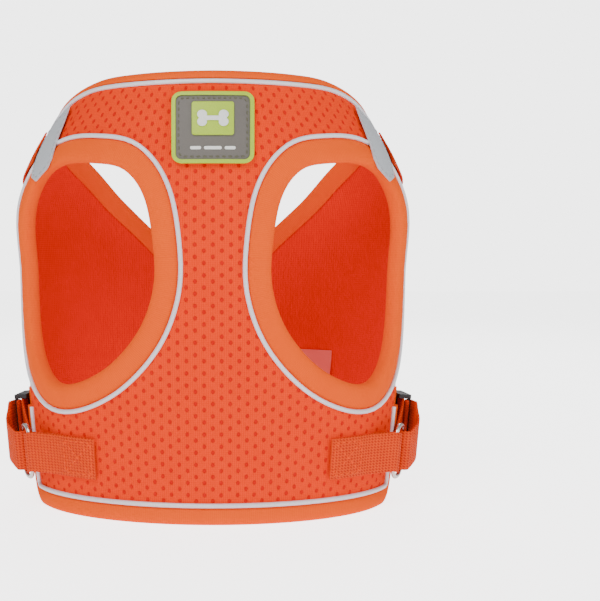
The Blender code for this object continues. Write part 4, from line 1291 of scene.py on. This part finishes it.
def patch_layer(name, look, outline, layer, node, soften, holes=()):
    piece = cut_cloth(name, outline, layer, holes, cell=0.0035, soften=soften, shape=level)
    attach(dress(piece, look, 35), "vest")
    if node:
        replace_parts(piece, node)
    return piece


# %% Lay the patch
PATCH_FOOT, PLATE_TOP, LIME_TOP, BONE_TOP, DASH_TOP = 0.0044, 0.0062, 0.0071, 0.0079, 0.0067
SUNK, BONE_SUNK, EMBLEM_CORNER = 0.0060, 0.0068, 0.0012
DASH_HEIGHT, DASH_DEPTH, DASH_CORNER = 0.1792, 0.0016, 0.0007
DASHES = ((-0.0078, 0.0050), (0.0, 0.0080), (0.0078, 0.0050))

at = (0, PATCH_CENTRE)
plate = rounded_box(at, PATCH_WIDTH - RIM, PATCH_HEIGHT - RIM, PATCH_CORNER)
rim_out = rounded_box(at, PATCH_WIDTH, PATCH_HEIGHT, PATCH_CORNER)
rim_in = rounded_box(at, PATCH_WIDTH - 2 * RIM, PATCH_HEIGHT - 2 * RIM, PATCH_CORNER - RIM)
block = rounded_box((0, EMBLEM_CENTRE), EMBLEM_WIDTH, EMBLEM_HEIGHT, EMBLEM_CORNER)
patch_layer("patch_plate", PATCH_RUBBER, plate, (PATCH_FOOT, PLATE_TOP), "patch_base",
            0.0)
patch_layer("patch_edge", LIME, rim_out, (PATCH_FOOT, LIME_TOP), "patch_rim",
            0.0005, [rim_in])
patch_layer("patch_block", LIME, block, (SUNK, LIME_TOP), "patch_emblem", 0.0003)
patch_layer("patch_bone_shape", WHITE, bone_outline(EMBLEM_CENTRE), (BONE_SUNK, BONE_TOP),
            "patch_bone", 0.0002)
for i, (u, width) in enumerate(DASHES):
    dash = rounded_box((u, DASH_HEIGHT), width, DASH_DEPTH, DASH_CORNER)
    dash = patch_layer(f"patch_dash_{i}", WHITE, dash, (SUNK, DASH_TOP), None, 0.0002)
print("patch laid in", 4 + len(DASHES), "layers and dashes")

# %% [markdown]
# ## Shoulder strips, tapes and label
#
# A grey reflective strip is folded over each shoulder seam. The hook and loop tapes face each other
# between the flaps. The care label is sewn inside at its top, and its foot stands off a little.

# %% Reflective strips over the shoulders
STRIP_LAYER, TRIM_CELL, STRIP_EDGE = (0.0059, 0.0067), 0.004, 0.0002
STRIP_OUTLINE = (
    (64.0, 0.2040), (60.5, 0.1900), (57.5, 0.1765), (58.0, 0.1715), (63.0, 0.1655), (68.0, 0.1680),
    (70.5, 0.1735), (73.5, 0.1860), (75.0, 0.1960),
)
for label, side in SIDES:
    flat = sided(on_pattern(STRIP_OUTLINE), side)
    strip = cut_cloth(f"{label}_grey_strip", flat, STRIP_LAYER, (), TRIM_CELL, STRIP_EDGE)
    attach(dress(strip, GREY_TAPE), "vest")
    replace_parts(strip, f"{label}_shoulder_reflector")
print("shoulder strips:", len(strip.data.polygons), "faces each")


# %% Hook and loop tapes
LOOP_LAYER, HOOK_LAYER, TAPE_EDGE = (0.0043, 0.0056), (-0.0014, 0.0), 0.0003
TAPE_BOTTOM, TAPE_TOP, TAPE_CORNER, TAPE_MARGIN = 0.016, 0.084, 0.002, 0.0012


def stripe_box(first, last, low, high, corner):
    return rounded_box(((first + last) / 2, (low + high) / 2), last - first, high - low, corner)


tape_end = HALF_GIRTH + FLAP_EDGE - HEM_BINDING - TAPE_MARGIN
tape = stripe_box(HALF_GIRTH - FLAP_EDGE, tape_end, TAPE_BOTTOM, TAPE_TOP, TAPE_CORNER)
for name, node, (label, side), layer in (("loop_pile", "loop_tape", SIDES[0], LOOP_LAYER),
                                         ("hook_pile", "hook_tape", SIDES[1], HOOK_LAYER)):
    piece = cut_cloth(name, sided(tape, side), layer, (), TRIM_CELL, TAPE_EDGE, LIFTS[label])
    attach(dress(piece, PILE), f"{label}_flap")
    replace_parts(piece, node)
print("tapes:", round(tape_end - HALF_GIRTH + FLAP_EDGE, 4), "m wide")

# %% Care label
LABEL_FROM, LABEL_TO, LABEL_TOP, LABEL_BOTTOM = 133.5, 148, 0.0735, 0.0565
LABEL_LAYER, LABEL_CORNER, LABEL_CELL, LABEL_CURL = (-0.0006, -0.0001), 0.0008, 0.002, 0.0016


def curl(flat):
    """The label is sewn down at its top, and its foot stands off a little."""
    share = np.clip((LABEL_TOP - flat[:, 1]) / (LABEL_TOP - LABEL_BOTTOM), 0, 1)
    flat[:, 2] -= LABEL_CURL * share**2
    return flat


label_box = stripe_box(u_at(LABEL_FROM), u_at(LABEL_TO), LABEL_BOTTOM, LABEL_TOP, LABEL_CORNER)
piece = cut_cloth("blank_label", label_box, LABEL_LAYER, cell=LABEL_CELL, shape=curl)
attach(dress(piece, LABEL), "vest")
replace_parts(piece, "care_label")
print("label:", len(piece.data.polygons), "faces")

# %% [markdown]
# ## Stitching
#
# Heavy stitches hold each strap's sewn end in a box with a cross, and a light row goes round the
# shoulder strips and the patch. Each stitch is a small bead on the pattern, and all those of one
# seam are one mesh.

# %% Stitching
CROSS_HALF, STRIP_INSET, SEAM_SPACING, PATCH_INSET = 0.0078, 0.16, 0.001, 0.0066
CHEST_CROSS, BACK_CROSS, SEAM_CORNER = (38.3, 49.8), (126.5, 138), 0.0025


def boxed_cross(u0, u1, z0, z1, w):
    """The box and cross that holds a strap's end."""
    corners = [(u0, z0), (u1, z0), (u1, z1), (u0, z1), (u0, z0)]
    sides = [[(*corners[i], w), (*corners[i + 1], w)] for i in range(4)]
    return sides + [[(u0, z0, w), (u1, z1, w)], [(u0, z1, w), (u1, z0, w)]]


def sew(name, lines, look):
    piece = dress(stitches(name, lines), look, 60)
    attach(piece, "vest")


for label, side in SIDES:
    for part, ends, height, layer in (("chest", CHEST_CROSS, STRAP_HEIGHT, LAYER_OUT),
                                      ("back", BACK_CROSS, SLIDER_HEIGHT, LAYER_IN)):
        u0, u1 = (side * u_at(degrees) for degrees in ends)
        lines = boxed_cross(u0, u1, height - CROSS_HALF, height + CROSS_HALF, layer + WEBBING / 2)
        sew(f"{label}_{part}_cross", lines, THREAD)
    outline = sided(on_pattern(STRIP_OUTLINE), side)
    inset = spline(outline + (outline.mean(0) - outline) * STRIP_INSET, True, SEAM_SPACING)
    seam = np.column_stack([inset, np.full(len(inset), STRIP_LAYER[1])])
    sew(f"{label}_strip_seam", [seam], GREY_THREAD)

seam_box = rounded_box(at, PATCH_WIDTH - PATCH_INSET, PATCH_HEIGHT - PATCH_INSET, SEAM_CORNER)
seam_line = level(np.array(seam_box + seam_box[:1]))
seam = np.column_stack([seam_line, np.full(len(seam_line), PLATE_TOP)])
sew("patch_seam", [seam], PATCH_THREAD)
print("stitched")

# %% [markdown]
# ## Stage
#
# The vest stands on a plain pale floor in a bright studio. The floor and the sky look almost white
# to the camera and give much less light to the vest, so its orange stays deep. Light Path tells
# the camera's rays from the others.

# %% Floor
FLOOR_GLOW = 3.4

deselect()
bpy.ops.mesh.primitive_plane_add(size=6)
floor = bpy.context.object
floor.name = "floor"
floor_look = bpy.data.materials.new("floor")
floor_look.use_nodes = True
tree = floor_look.node_tree
paint = tree.nodes["Principled BSDF"].inputs
paint["Base Color"].default_value = (0.93, 0.93, 0.93, 1)
paint["Roughness"].default_value = 0.9
paint["Emission Strength"].default_value = FLOOR_GLOW
glow = add(tree, "Mix", data_type="RGBA")
glow.inputs[6].default_value, glow.inputs[7].default_value = (0.23, 0.23, 0.23, 1), (1, 1, 1, 1)
tree.links.new(add(tree, "LightPath").outputs["Is Camera Ray"], glow.inputs[0])
tree.links.new(glow.outputs[2], paint["Emission Color"])
floor.data.materials.append(floor_look)

# %% Sky
SKY_LIGHT, SKY_SEEN = 0.42, 4.0

world = bpy.data.worlds.new("studio")
bpy.context.scene.world = world
world.use_nodes = True
sky = world.node_tree
unseen, seen = sky.nodes["Background"], add(sky, "Background")
for background, strength in ((unseen, SKY_LIGHT), (seen, SKY_SEEN)):
    background.inputs["Color"].default_value = (1.0, 1.0, 1.0, 1)
    background.inputs["Strength"].default_value = strength
either = add(sky, "MixShader")
sources = add(sky, "LightPath").outputs["Is Camera Ray"], unseen.outputs[0], seen.outputs[0]
for source, socket in zip(sources, either.inputs):
    sky.links.new(source, socket)
sky.links.new(either.outputs[0], sky.nodes["World Output"].inputs[0])
print("floor and sky lit")

# %% [markdown]
# ## Lights and camera
#
# A large soft key stands above and to one side of the chest, a weaker fill at the other side, and
# a light from behind shows the lining and the back. The camera is level with the middle of the
# vest and close, so the shoulders curve away.

# %% Lights
LIGHT_TARGET = Vector((0, 0, 0.12))


def soft_light(name, place, size, power):
    lamp = bpy.data.lights.new(name, "AREA")
    lamp.size, lamp.energy = size, power
    obj = bpy.data.objects.new(name, lamp)
    bpy.context.scene.collection.objects.link(obj)
    obj.location = place
    obj.rotation_euler = (LIGHT_TARGET - Vector(place)).to_track_quat("-Z", "Y").to_euler()


soft_light("key", (-0.35, -0.9, 0.95), 0.7, 9.5)
soft_light("fill", (0.9, -0.7, 0.5), 0.8, 4)
soft_light("back", (0.1, 0.9, 0.9), 0.7, 6)
print(len(bpy.data.lights), "lights")

# %% Camera
lens = bpy.data.cameras.new("camera")
lens.lens, lens.sensor_width = 65.4, 36.0
lens.shift_x, lens.shift_y = 0.145, -0.081
camera = bpy.data.objects.new("camera", lens)
bpy.context.scene.collection.objects.link(camera)
camera.location = (0.0, -0.5866, 0.130)
camera.rotation_euler = (math.radians(90), 0, 0)
bpy.context.scene.camera = camera
print("lens", round(lens.lens, 1), "mm")
